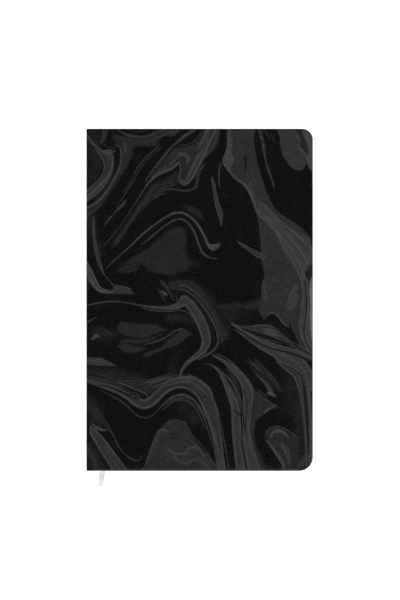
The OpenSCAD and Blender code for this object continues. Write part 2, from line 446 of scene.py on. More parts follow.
# %% The spine's sheet
def spine_sheet():
    height = 2 * FACE_HALF
    bpy.ops.mesh.primitive_grid_add(x_subdivisions=round(GIRTH / CELL), size=1,
                                    y_subdivisions=round(height / CELL))
    bpy.context.object.scale = (GIRTH, height, 1)
    sheet = started("spine_sheet")
    points = get_points(sheet)
    run = GIRTH / 2 - points[:, 0]
    points[:, 0], points[:, 2] = spine_section(run, 0)
    set_points(sheet, points)
    roll_ends(sheet)
    outward(sheet)
    apply_modifier(sheet, "SOLIDIFY", thickness=SHEET_T, offset=-1)
    return sheet

# %% Its ends, rolled over the card
def roll_ends(sheet):
    """Extrude the head and tail edges over the end of the card."""
    select_only(sheet)
    bpy.ops.object.mode_set(mode="EDIT")
    pick(sheet, "EDGE", lambda c: abs(c.y) > FACE_HALF - CLOSE)
    mesh = bmesh.from_edit_mesh(sheet.data)
    start = np.array([v.co for v in mesh.verts if v.select])
    run = run_of(start)
    side = np.sign(start[:, 1])
    for out, depth in OVER_EDGE + [(EDGE_R, SPINE_R - 0.02 * MM)]:
        bpy.ops.mesh.extrude_edges_move()
        mesh = bmesh.from_edit_mesh(sheet.data)
        x, z = spine_section(run, depth)
        for k, vertex in enumerate(v for v in mesh.verts if v.select):
            vertex.co = (x[k], side[k] * (FACE_HALF + out), z[k])
        bmesh.update_edit_mesh(sheet.data)
    finish_edit()


def run_of(points):
    """Run round the spine of points on its outer face."""
    top = COVER_TOP - SPINE_R
    low = SPINE_R
    lean = np.arctan2(HINGE_X - points[:, 0], np.abs(points[:, 2] - np.clip(points[:, 2], low, top)))
    on_top = SPINE_R * np.minimum(lean, math.pi / 2)
    flat = ARC + top - np.clip(points[:, 2], low, top)
    return np.where(points[:, 2] > top, on_top, np.where(points[:, 2] < low, GIRTH - on_top, flat))

# %% Its turn-ins
def join(name, *parts):
    select_only(*parts)
    bpy.ops.object.join()
    parts[0].name = name
    parts[0].data.name = name
    return parts[0]


spine = spine_sheet()
TURN_IN_Z = COVER_T + 0.2 * MM
for side in (-1, 1):
    bpy.ops.mesh.primitive_cube_add(size=1, location=(
        HINGE_X + SHEET_T / 2, side * (HEIGHT / 2 - TURN_IN / 2), COVER_TOP / 2))
    bpy.context.object.scale = (SHEET_T, TURN_IN, COVER_TOP - 2 * TURN_IN_Z)
    flap = started("flap")
    apply_modifier(flap, "BEVEL", width=0.1 * MM, segments=2)
    spine = join("spine_sheet", spine, flap)
smooth(spine, 25)
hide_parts("spine_wrap")
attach(spine, "block")
report(spine)

# %% [markdown]
# Marbled paper shows what a comb and a stylus did to floating paint: tongues of grey drawn out over
# black, with lighter hairlines along them. The print is painted here as a marbler draws it, in
# strokes. A stroke is a grey tone, from 0 for black to 255 for white, and points of its middle line
# with a half width at each. They are in millimetres, X from the spine's edge and Y down from the
# head. A wide pool of paint has an outline instead. Soft shades lie lowest, then the pools, then
# tongues with a clean edge, and hairlines over all of them.

# %% Soft shades: tone, softness of the edge, points with half widths
SHADES = [
    (27, 4, [(4,4,4), (6,22,4), (2,30,3)]),
    (29, 2.5, [(44,36,2), (52,33,3), (57,30,2)]),
    (26, 3, [(62,82,3), (68,83.5,1.5)]),
    (34, 1.6, [(60,47,0.6), (63,48.5,1.5), (68,51.5,2), (71,55,0.6)]),
    (27, 3, [(3,56,3), (5,66,2.5), (8,76,2)]),
    (23, 2.5, [(48,95,1.5), (58,95,3), (66,98,4.5), (74,105,5), (81,115,5), (85,124,4), (84,132,1.5)]),
    (28, 3, [(6,124,3), (12,128,3), (17,126,2)]),
    (30, 2, [(22,130,1.2), (32,130.5,1.6), (42,129,1)]),
    (27, 2.5, [(50,116,2), (58,116,2), (66,119,1.5)]),
    (26, 3, [(52,148,2.5), (54,142,2), (57,137,1)]),
    (27, 3, [(4,148,4), (14,151,4), (24,153,4), (34,154,3)]),
    (33, 1.6, [(80,109,1), (88,109.5,1.7), (96,108.8,1.7), (104,107.5,2), (108,106,1.5)]),
    (24, 3, [(70,112,4), (88,114,4), (100,114,3)]),
    (27, 4, [(130,150,3), (131,170,4), (131,190,4), (130,212,5)]),
    (24, 4, [(122,140,3), (125,158,4), (122,172,4)]),
    (28, 3, [(2,168,4), (5,175,3), (9,181,2)]),
    (30, 2.5, [(2,196,3), (6,206,4), (8,213,4)]),
    (26, 3, [(60,172,4), (66,178,3)]),
    (28, 2.5, [(104,146,2.5), (112,154,2.5), (118,160,1.5)]),
    (30, 1.6, [(22.5,7.9,1.5), (25.4,14.6,2), (23.7,21.3,2), (18.7,29,2), (12.9,37.6,2), (6.2,44.4,1.5)]),
    (27, 2.5, [(121,199.6,4), (126.7,191.9,4), (128.6,186.1,2)]),
    (30, 2, [(129.6,144,3), (133.4,149.7,2)]),
    # A painted highlight: lighter along the fore edge, where its rounded edge catches the light
    (48, 1.2, [(139.4,108.5,1.2), (139.2,122,1.2)]),
    (29, 2.5, [(2.4,169.8,4), (7.2,174.6,3), (4.3,179.4,2)]),
    (31, 1.5, [(136,86,1.5), (139,90,2)]),
    # Painted light: lighter towards the fore corner at the tail, where the light falls on the rounded edge
    (44, 3, [(124,209,2), (131,206,3), (136,202,3)]),
    (32, 1.5, [(130.1,-3.6,1.5), (131.3,4.1,1.8), (133.2,10.8,1.8), (134.8,15.6,1)]),
    (34, 1.2, [(87.2,147.4,0.8), (90.1,152.6,1.4), (92.4,159.3,1.6), (93.7,167,0.8)]),
    # Painted light: a soft glow along the tail edge
    (32, 3, [(24,209.5,1), (60,209.5,1.2), (100,209,1.2), (136,208,1.5)]),
    (29, 1.2, [(138,84.6,1.5), (137.7,91.3,2)]),
]

# %% Pools with a drawn outline: tone, softness of the edge, outline
# A notch at the fore edge, in the outline of the two largest pools
NOTCH = [(143,93.2), (137.7,93.4), (135.5,92.2), (134.4,89.8), (134.9,87), (137.7,84.1), (143,81.7),
         (143,71.2), (137.7,71.2), (138,68.8)]
POOLS = [
    (41, 0.35, [(87.6,-4.5), (86.9,6), (86,12.7), (83.6,19.6), (85.5,23.7), (87.9,26.1), (92.2,30.5),
     (97,35.7), (100.3,41.5), (102.7,48.2), (105.1,54.9), (106.1,61.6), (106.8,69.3), (107.3,77.9),
     (107.9,84.6), (109.1,87.9), (108.9,91.3), (107.5,96.1), (107.3,102.8), (106.1,106.6), (106.1,112.4),
     (107.9,116.2), (109.4,117), (110.6,115.1), (113.3,113.1), (116.6,113.3), (119.2,117.4), (121.9,120.5),
     (123.8,121.5), (125,119.8), (126.7,123.9), (129.1,129.2), (132,133.9), (135.5,137.8), (143,144),
     *NOTCH, (136.3,65.4), (132.5,61.1), (124.8,55.9), (117.1,50.6), (113.3,44.5), (109.9,36.7),
     (106.8,27.1), (104.5,17.5), (102.9,7.9), (102.2,-4.5)]),
    (53, 0.5, [(105.1,50.1), (108.5,51.5), (110.9,55.9), (114.4,58.5), (117.1,64.5), (119.5,71.2),
     (121.9,76.9), (125.7,81.7), (129.6,87.5), (131.7,94.2), (132.8,100.9), (132.8,111.4), (131.7,118.1),
     (130.9,124.8), (132.8,130.6), (135.9,136), (143,142.1), *NOTCH, (134.4,65.4), (128.6,62.8),
     (121,58.5), (115.2,52.6), (110.9,46.7), (107.5,45.3)]),
    (56, 0.4, [(87.6,-4.5), (86.9,6), (86,12.7), (83.6,19.6), (85.5,24), (87.9,26.3), (88.6,23.5),
     (90.9,18.7), (89.1,14.2), (89.9,7.9), (88.6,4.1), (90.3,-4.5)]),
    (53, 0.3, [(127.5,96.1), (129.6,95.5), (130.7,97.6), (128.8,99.9), (130.2,103.7), (128.6,108.5),
     (126.5,111.4), (124.2,111.6), (122.6,109.5), (123.4,105.7), (124.8,100.9), (126.1,98.2)]),
    (32, 0.5, [(81.3,108.5), (84.5,107.4), (89.3,107.8), (91.8,106.6), (94.3,106.4), (95.3,108.5),
     (97.8,107.6), (99.9,107.8), (102.4,105.3), (104.7,106.8), (106.8,106.4), (106.8,110.5), (102.7,111),
     (97,110.7), (96,109.7), (92.4,110.7), (86.9,111.4), (83.6,110.5)]),
    (38, 0.35, [(101,157), (102.4,157.4), (103.3,161), (105.4,161.2), (107.5,164.3), (110.6,166.2),
     (113.1,168.5), (115.8,169.8), (114,171.2), (110.4,173.5), (107.5,176.2), (105.2,178.5), (103.5,182.1),
     (103.1,188), (103.7,191.9), (105.8,197.6), (108.7,203.4), (112.9,212), (105.6,212), (102.9,200.5),
     (100.8,191.9), (99.5,183.3), (99.5,176.5), (101,167)]),
    (36, 0.9, [(109.8,189), (110.6,185.4), (113.3,183.3), (117.1,182.7), (121.1,183.6), (125,185.9),
     (128.6,188.8), (130.3,191.9), (129.8,199.6), (128.6,213), (121,213), (119.6,205.3), (117.1,201),
     (114.2,197.2), (111.6,193.8)]),
    (39, 0.6, [(34.2,213.9), (36.7,205.3), (38.2,199.6), (40.5,193), (43.4,187.3), (45.3,184.2),
     (48.4,180.8), (52.2,178.7), (58,178.8), (61.3,180), (63.9,185.4), (66.8,191.1), (72.2,197.8),
     (75.2,201.5), (73,196.9), (76.9,203.4), (80.7,212)]),
    (45, 0.4, [(43.2,187.3), (45.1,184.2), (49.9,185.6), (47.3,188.4), (45.3,190.7), (42.8,194.9),
     (40.7,199.6), (39.6,199.6), (40.7,193.8)]),
    (45, 0.35, [(7.8,100.3), (12,99.9), (16.2,99.1), (18.1,96.3), (20.8,96.7), (23.7,96.8), (27.1,98),
     (27.5,99.7), (29.8,101.4), (22.5,101.4), (12,101.3)]),
    (34, 1.3, [(18.9,86.5), (21.6,83.6), (27.3,79.8), (34,75.8), (39.8,71.7), (44.2,67.6), (48.6,63.8),
     (53.6,61.4), (58,60.2), (61,63.2), (61.6,69), (61.2,74), (62,78.8), (63,83.6), (61.3,87), (56.1,88.6),
     (50.3,89.8), (44.6,88.9), (38.8,87.5), (35.4,84), (33.1,83.4), (31,86.1), (26.4,88.4), (20.8,88)]),
    (37, 1, [(19.1,122.2), (21.6,118.3), (25.4,119.3), (31.2,119.6), (38.8,119.8), (46.5,122),
     (49.6,123.4), (44.6,125), (39.8,126.9), (35,127.8), (29.2,127.7), (23.5,126.4), (19.8,124.6)]),
    (35, 0.8, [(19.1,132.7), (23.5,131.5), (30.2,133.5), (37.1,134.4), (35,136), (27.3,137.9),
     (22.5,136.5), (19.8,134.6)]),
    (36, 0.7, [(34.4,139.6), (36.9,137.3), (41.7,135.4), (46.7,133.5), (48.4,131.1), (52.2,127.9),
     (54.9,125.8), (57.8,122.7), (61.8,123.9), (64.9,125.8), (61.1,128.3), (59.9,129.8), (56.1,132.5),
     (50.3,134.6), (43.6,136.9), (38.8,139.4)]),
    (50, 0.3, [(2.6,129.8), (4.3,126.8), (6.2,125.8), (8.7,127.3), (5.5,129.1)]),
    (49, 0.3, [(-5.3,141.1), (4.3,140.3), (9.3,140.7), (12.9,142.5), (19.3,145.7), (12.9,145.5),
     (7.2,145.3), (2.4,144.9), (-5.3,144.1)]),
    (30, 1, [(48,116.2), (52.2,114.7), (58,114.5), (64.7,117), (65.1,118.9), (60.9,118.1), (56.1,117.7),
     (51.3,118.1)]),
    (37, 0.6, [(37.3,34), (41.6,26.5), (45.3,22.7), (47.7,19.7), (50.1,16.6), (53.2,13.5), (56.1,11.6),
     (60.9,10.8), (66.2,9.3), (69.5,6), (72.6,1), (75.2,-4.5), (81.8,-4.5), (81.5,6), (79.5,11),
     (75.7,15.8), (72.1,19.6), (69,24.4), (66.9,29), (65.7,30), (61.8,34.6), (58.6,34.4), (56.8,30.9),
     (57.2,21.3), (52.4,24.8), (48.4,26.3), (43.8,28.2), (39.8,31.5)]),
    (35, 1.1, [(55.3,26.7), (52.2,28.6), (46.5,32.1), (41.9,34), (38.8,36.7), (35,42.6), (30.2,50.1),
     (25,57.8), (19.6,65.4), (15.8,72), (18.1,72), (23.7,64.5), (29.4,55.9), (34,50.1), (37.9,46.3),
     (39.8,43.4), (43.6,39.6), (48.4,36.7), (52.8,33.4)]),
    (36, 0.9, [(17.3,2.2), (19.1,4.1), (23.1,4.3), (29.2,5.8), (35,5.6), (39.8,4.1), (43.6,2), (50.3,-3.6),
     (59.9,-3.6), (56.1,2.2), (51.9,4.1), (46.5,5.1), (44.4,7), (44.6,9.7), (38.8,10.8), (32.3,10.6),
     (29,11.8), (27.5,17.5), (24.4,23.5), (19.8,30.9), (15,38.6), (10.1,46.3), (4.5,52), (-3.4,56.8),
     (-3.4,51.6), (4.3,48.2), (10.1,41.7), (14.9,34.8), (19.1,27.1), (21.4,19.4), (21.6,11.8), (19.1,8.9),
     (16.8,7)]),
    (41, 0.5, [(9.9,-3.6), (13.5,-3.6), (12.9,3.1), (11.4,7.5), (9.3,9.1), (8.3,7.9), (9.7,4.1)]),
    (33, 1.2, [(-5.3,148.7), (0.5,150.1), (8.1,152.4), (17.7,153.9), (27.3,156), (33.1,156.4),
     (38.8,154.1), (44.6,152), (52.2,151), (59.9,150.7), (59.9,154.5), (52.2,156.4), (46.5,160.2),
     (41.7,163.3), (36.9,163.3), (31.2,160.8), (25.4,157.9), (17.7,156.4), (10.1,155.5), (-5.3,153.5)]),
    (34, 0.8, [(50,96.5), (52.2,93.6), (59.9,92.8), (65.7,94), (70,97.4), (73,100.9), (77.8,108.5),
     (81.7,116.2), (86.4,124.8), (86.9,127.7), (81.7,132.5), (79.7,135.4), (82.1,130.6), (81.7,125.8),
     (77.8,118.1), (73,108.5), (67.3,101.8), (62,98), (55,99)]),
    (46, 0.5, [(116.4,-4.5), (127.5,-4.5), (128.6,1.4), (130.7,7.2), (131.9,11), (133.8,14.6),
     (134.5,17.1), (134.9,20.4), (133.4,24.7), (129.6,25.7), (125.4,23.5), (122.9,20.2), (120.7,16.7),
     (119.3,11.8), (118.7,6), (117.2,1.4)]),
    (58, 0.6, [(131.3,-4.5), (132.4,1.4), (133.3,5.2), (134.1,8.7), (135,12.9), (135.2,15.6), (134.8,18.5),
     (135.5,21.8), (138.2,26.1), (143,30), (143,-4.5)]),
]

# %% Tongues with a clean edge: tone, points with half widths
TONGUES = [
    (44, [(-3,-1,0.6), (1,5,0.7), (5,10.5,1), (9.5,15,1.9), (13,18.5,3.2), (13.8,23,3), (12.6,28,2.7),
     (9,33.5,2.9), (4,38.5,3.3), (-3,43.5,3.6)]),
    (44, [(10,14.5,1), (14,14.2,1.6), (17,13.8,0.6)]),
    (46, [(57.6,32.1,0.5), (60.9,32.1,1.6), (64.1,28.8,2.2), (67.6,21.7,2.4), (71.4,13.7,2.8),
     (72.8,9.1,2.7), (76.5,1.2,3.3), (79.7,-5.5,4)]),
    (45, [(36.7,35.5,0.3), (40,31.4,0.7), (44,28.1,0.9), (48.8,25.9,1), (52.8,24,1), (56.3,21.2,0.7)]),
    (47, [(55.7,16.2,0.4), (58.8,15.2,0.8), (61.8,16.6,0.9), (62.4,19,0.8), (61.3,21.7,0.3)]),
    (50, [(-3,78,1.2), (1,86,2), (4,93,2.2), (8,98.5,1.6), (14,100.3,1)]),
    (38, [(4.3,55,0.7), (4.7,66,1), (6.4,76,1.2), (8.6,84,1.1), (10.6,89,0.6)]),
    (50, [(73.5,70,0.5), (76,72.3,1.4), (78.5,72.5,1.6), (82,70.5,0.4)]),
    (46, [(41,110,0.5), (50,110.2,0.9), (56.5,108.5,1.9), (60.2,105.8,2.9), (64,108.5,2.9), (68.6,115,3),
     (72,122.5,3.1), (73.6,130,2.8), (71.4,136,2.2), (67,139.8,1.6), (62,143.5,1.2), (58.8,148,1),
     (57,153.5,0.6)]),
    (43, [(-5.3,152.6,1), (4.3,155.1,1.2), (12,157.4,1.4), (19.6,160.4,1.8), (26.4,164.7,2.2),
     (31.2,167.9,2.9), (35.9,169.1,3), (40.7,166.8,3), (45,162.5,2.8), (50.3,158.1,3), (58,155.5,3.6),
     (65.7,156.4,4.2), (71.4,160.8,4.6), (73,164.1,4.6), (76.5,173.7,4), (79.2,184.2,3.2),
     (81.3,195.7,2.5), (83.6,211.1,2.3)]),
    (46, [(76.5,144.9,0.3), (81.3,148.9,0.8), (85.1,155.5,1.5), (88.6,163.3,2.2), (91.2,170.8,2.6),
     (92,179.4,2.8), (92.4,188,2.9), (93.7,199.6,3), (95.6,212,3.2)]),
    (47, [(77.8,139,0.5), (84.7,143,1.1), (91.2,148.2,2), (96.4,154.3,2.8), (99.1,161.2,3.2),
     (98.9,169.8,2.9), (97.9,179.4,2.3), (98.1,188,2.5), (100.1,197.6,3), (103.7,212,4)]),
    (42, [(82.6,148.6,0.3), (87.6,153.5,0.7), (91.6,160.2,0.9), (94.5,167.9,0.8), (95.6,174.6,0.4)]),
    (43, [(77.2,30,0.5), (78,33.8,1.1), (79,39.6,1.1), (80.3,46.3,1.5), (82.2,52,1.6), (82.8,58.7,0.5)]),
    (38, [(82.6,21.7,0.5), (81.6,24.2,0.5), (81.3,30,0.5), (81.8,35.3,0.3)]),
    (40, [(93.3,69.6,0.5), (96,71.5,1), (100.8,74.6,1.4), (105.2,77.3,1.7), (108.5,78.8,1.4)]),
    (39, [(90.7,120,0.3), (96,121.6,0.8), (100.8,122.2,1.4), (106.6,122.7,2.6), (112.3,123.7,3.3),
     (117.1,126.2,2.6), (122.9,130.2,1.9), (129.6,134,1.9), (140.9,141.1,2.2)]),
    (50, [(108.3,123.1,0.6), (111.6,124.1,1.6), (115.2,125.4,1.6), (118.1,126.9,0.5)]),
    (45, [(90.7,120.6,0.3), (96,124.3,0.8), (102.7,128.3,1.4), (109.4,131.5,1.9), (117.1,133.8,1.6),
     (124.8,135.8,1.3), (134.4,139.6,1.3), (142,143.1,1.3)]),
    (47, [(91.2,123.1,0.3), (96,126.4,0.7), (102.7,131,1.2), (109.4,134.8,1.9), (117.1,138.6,2.4),
     (119,141.1,2.6), (126.7,144.5,2.4), (132.1,149.3,2.2), (134.8,155.5,1.7), (136.3,165,1.4),
     (137.1,178.5,1.3), (138,191.9,1.4), (138.4,211.1,1.6)]),
    (41, [(117.1,143.6,0.4), (122.9,147,1.4), (128,150.7,1.8), (130.7,156.4,1.6), (132.1,165,1.2),
     (133.4,176.5,1), (134.8,191.9,0.9), (135.5,211.1,0.9)]),
    (44, [(2.8,183.3,1), (4.7,187.1,2.4), (8.5,191.9,3.2), (12.9,198.6,3.5), (17.7,205.3,3.9),
     (23.5,213.9,4.2)]),
    (48, [(4.1,181.5,0.4), (5.5,184.4,0.8), (6.8,182.9,0.5), (8.5,184.8,0.6), (12.2,185,0.3)]),
    (34, [(-2,192,0.5), (2.5,199,0.7), (5.5,206,0.8), (7.5,213,0.9)]),
    (52, [(113.1,189.2,0.5), (114,186.7,0.8), (116.9,185.4,1), (120.6,186.1,0.9), (123.8,189,0.4)]),
    (50, [(111,191.9,0.4), (113.7,194.9,0.8), (117.1,199.6,1.1), (120.6,205.3,1), (121.5,209.1,0.5)]),
    (45, [(120.6,194,1.1), (122.5,196.9,1.6), (124,201.5,1.1), (125,206.3,0.5)]),
    (52, [(46,100.2,1), (48,101.2,1.2)]),
    (41, [(105.2,151,0.3), (108.3,154.1,0.8), (111.6,158.3,1.3), (113.7,162.2,1.3), (115.8,164.5,0.5)]),
    (54, [(112.3,162.4,1), (115,163.3,0.9)]),
    (38, [(100.2,141.7,0.3), (103.3,144.5,0.6), (107.9,148.4,0.4)]),
    (36, [(102.4,148.4,0.3), (104.7,150.9,0.6), (107.5,154.1,0.5)]),
    # A painted highlight: a light strip down the fore edge, where the rounded edge catches the light
    (56, [(139.4,92.2,1), (138,97,1.2), (138.4,106.6,1.3), (138,116.2,1.3), (137.4,123.9,1.1),
     (138.4,130.6,0.8), (140.3,135.4,0.6)]),
    (50, [(133.4,87.1,0.4), (134.9,83.6,0.9), (137.4,79,1.2), (140.1,75.9,1)]),
    (47, [(117,135.6,0.6), (122,138,1.6), (128,141,2.4), (133.5,145.5,2.6), (137,152,2.2), (139,160,1.5)]),
    (37, [(36.1,32.8,0.3), (38.8,28.2,0.5), (42.4,23.6,0.8), (45.4,19.9,0.9), (48.8,15.3,0.9),
     (51.6,12,0.7), (53.9,9.7,0.5), (56.5,7.6,0.3)]),
    (43, [(52.2,11.6,0.2), (54.2,9.6,0.5), (56.9,7.3,0.9), (60.5,4.4,1), (64.1,2,1), (66.8,0.3,0.8)]),
    (44, [(52,4.9,0.3), (54.4,2.8,0.5), (56.5,1,0.3)]),
    (38, [(23.9,44.4,0.5), (22.5,46.7,1), (20.5,48.2,1), (18.2,50.6,0.5)]),
]

# %% Hairlines, light and dark: tone, points with half widths
HAIRLINES = [
    (54, [(17.5,9.5,0.3), (20.4,11,0.5), (21.4,17,0.5), (19.9,25,0.55), (16.2,32.5,0.6), (11.6,39.6,0.65),
     (6,45.6,0.8), (-3,50.2,1)]),
    (58, [(12,86,0.2), (18,80,0.3), (26,73,0.45), (34,65.2,0.6), (42,58.8,0.7), (49,54.2,0.75),
     (54.5,51.7,0.8), (59.5,51.8,0.8), (65,55.2,0.85), (69.8,61.2,0.9), (73.3,67.6,0.8), (76,73.2,0.7),
     (78.8,74.6,0.5), (81.5,72,0.4)]),
    (52, [(-3,109.6,0.5), (5,107.4,0.5), (14,106,0.45), (24,106.6,0.5), (33,108.4,0.7), (42,109.4,0.7),
     (50,109.2,0.6), (55,107.4,0.4)]),
    (53, [(55.3,105.5,0.3), (55.4,101,0.5), (58,98.6,0.5), (62.6,100.2,0.5), (69,105.9,0.5),
     (74.6,113.2,0.55), (79,121.6,0.6), (81,129,0.7), (79.4,134.4,0.8), (75,138.2,0.6), (69,141.4,0.4)]),
    (50, [(0,119.6,0.5), (2.5,117.6,0.6), (5.6,115.8,0.3)]),
    (45, [(36.5,132.4,0.3), (43.5,130.4,0.5), (49.6,127.4,0.5), (54,124.2,0.5), (58.5,122.6,0.3)]),
    (54, [(-3,154.2,0.6), (6,157.3,0.6), (16,161,0.6), (24,164.8,0.7), (29.6,168.8,0.9), (34,171,1),
     (38.4,170.6,0.9), (43,167.4,0.7), (48,162.8,0.6), (53,159.6,0.5), (59,158.8,0.5), (65,161.6,0.6),
     (70.6,168,0.6), (75,176.8,0.5), (78.6,188,0.45), (81.6,200,0.4), (83,212,0.4)]),
    (50, [(45,171.6,0.3), (49.5,167,0.5), (54,164.2,0.6), (59.4,163.2,0.65), (65,165.6,0.7),
     (69.4,170.6,0.6), (72,177,0.5), (75,186,0.4), (78.6,198,0.35), (80.6,208,0.3)]),
    (44, [(10.5,177.5,0.3), (15.4,186,0.4), (19.4,194,0.5), (24,200,0.5), (29,203.2,0.5), (32.4,203.4,0.4),
     (33.6,200.4,0.3)]),
    (48, [(105,-2,0.4), (107.6,8,0.5), (109.4,17,0.5), (112.2,26,0.5), (115,33.5,0.5)]),
    (52, [(90,120.6,0.3), (97.6,124.6,0.5), (105.6,130.2,0.6), (113.6,134,0.5), (122,136.8,0.4)]),
    (50, [(80.5,138.4,0.4), (86,141,0.6), (92.6,146.6,0.5), (97.8,153.6,0.5), (101,161,0.4)]),
    (50, [(79.4,146.6,0.4), (84,151.6,0.6), (87.8,160,0.6), (90,170,0.5), (90.8,182,0.4), (91.6,196,0.4)]),
    (50, [(4,181.6,0.6), (7.8,183.6,0.7), (11.8,185,0.4)]),
    (44, [(65.5,188,0.2), (70,193.4,0.35), (75,200.4,0.4), (79.4,207.6,0.4), (81,213,0.4)]),
    (45, [(50,196,0.3), (54.6,199,0.4), (60.4,199.6,0.5), (66,197.4,0.4), (70,199.4,0.4), (75,203.4,0.3)]),
    (50, [(109.6,173.8,0.4), (112.4,171.8,0.7), (115.4,171,0.4)]),
    (40, [(103.6,141,0.3), (109.6,147,0.4), (115.4,153.6,0.4), (119.6,160.4,0.3)]),
    (47, [(1,98,0.3), (1,90,0.3), (-3,84,0.3)]),
    (44, [(106,42,0.3), (112,50.6,0.4), (119.6,57.6,0.4), (127,64.6,0.4), (133.4,73,0.4), (137,82,0.3)]),
    (45, [(139,92,0.2), (134.4,100,0.3), (135,116,0.3), (137,128,0.3)]),
    (52, [(34,71,0.2), (38.6,67.4,0.45), (45.6,61.6,0.55), (52,57,0.6), (57.6,55.4,0.65), (62.6,58,0.7),
     (66.2,63.4,0.7), (68.6,70,0.7), (71,75.6,0.7), (74.8,78.8,0.6), (80,79.8,0.3)]),
    (46, [(15.6,53.4,0.5), (13.6,55.4,0.4), (11.6,58.6,0.2)]),
    (42, [(40,44,0.2), (44,40,0.35), (49.6,37.4,0.4), (56,37.6,0.4), (62,38.4,0.4), (66.4,36,0.45),
     (67.8,30.6,0.4), (69.4,25,0.3)]),
    (44, [(20,1.4,0.4), (26,3.6,0.5), (33,4.8,0.5), (40,4,0.5), (46.6,0.6,0.4)]),
    (47, [(35,110,0.4), (42,111.6,0.5), (50,112,0.5), (57.6,111.4,0.5), (63,113.4,0.4), (67,118.6,0.3)]),
    (45, [(57,96.2,0.4), (61.6,96.6,0.5), (67,100,0.4), (72.6,106,0.4), (77.6,114,0.4), (81.6,123,0.4),
     (83,130,0.3)]),
    (44, [(9,160.6,0.2), (17.6,165,0.4), (25,170,0.5), (30,175,0.5), (34.6,177.2,0.5), (39.6,176.4,0.4),
     (44.6,172.4,0.3)]),
    (41, [(47,172.6,0.4), (52,168.4,0.5), (58,166.4,0.5), (64,168.6,0.5), (69,175,0.4), (73,184.6,0.3)]),
    (47, [(62,150.6,0.4), (68.6,153.4,0.4), (74.6,159.6,0.4), (79.4,169,0.4), (82.6,181,0.4), (85,194,0.4),
     (87.4,208,0.4)]),
    (43, [(99,143,0.3), (103,145.6,0.5), (106.4,148.6,0.3)]),
    (47, [(106,162,0.3), (110,165.2,0.5), (114,168.4,0.4), (117.8,171,0.3)]),
    (43, [(5.6,172,0.2), (9.6,176.6,0.3), (13,181,0.2)]),
    (48, [(54,201.6,0.4), (58,205,0.5), (63,204.4,0.5), (68,201.8,0.4), (73,205,0.4), (76,210,0.4)]),
    (44, [(60,193.6,0.3), (64.4,195.4,0.6), (69,195,0.4)]),
    (42, [(46,94.6,0.3), (48.6,97.6,0.4), (51.6,102,0.4), (53.4,105.4,0.3)]),
    (48, [(108.6,94,0.3), (109.4,99,0.6), (110,105,0.4)]),
    (48, [(109.6,113.6,0.4), (114,112.8,0.5), (117.4,115.2,0.5), (121,119.4,0.5), (124,121.6,0.3)]),
    (52, [(89,119.6,0.3), (95,122.6,0.4), (102.6,126.6,0.4), (110.4,129.4,0.4), (119,131.4,0.3)]),
    (52, [(130,143.6,0.4), (134.6,149.6,0.6), (136.4,160,0.5), (137.6,176,0.5), (138.4,200,0.5)]),
    (52, [(94,178,0.3), (93.4,188,0.4), (95.4,200,0.4), (98,212,0.4)]),
    (50, [(99.4,168,0.3), (100.6,178,0.4), (99.6,188,0.5), (100.6,198,0.4), (104,210,0.4)]),
    (46, [(127,1,0.3), (129.6,7,0.5), (131.8,14.6,0.4)]),
    (48, [(54,110.6,0.3), (60,103.4,0.5), (64,105.6,0.4), (69.6,112.6,0.4), (74,121,0.4), (76.2,129.6,0.4),
     (73.6,136,0.4), (68,141,0.3)]),
]

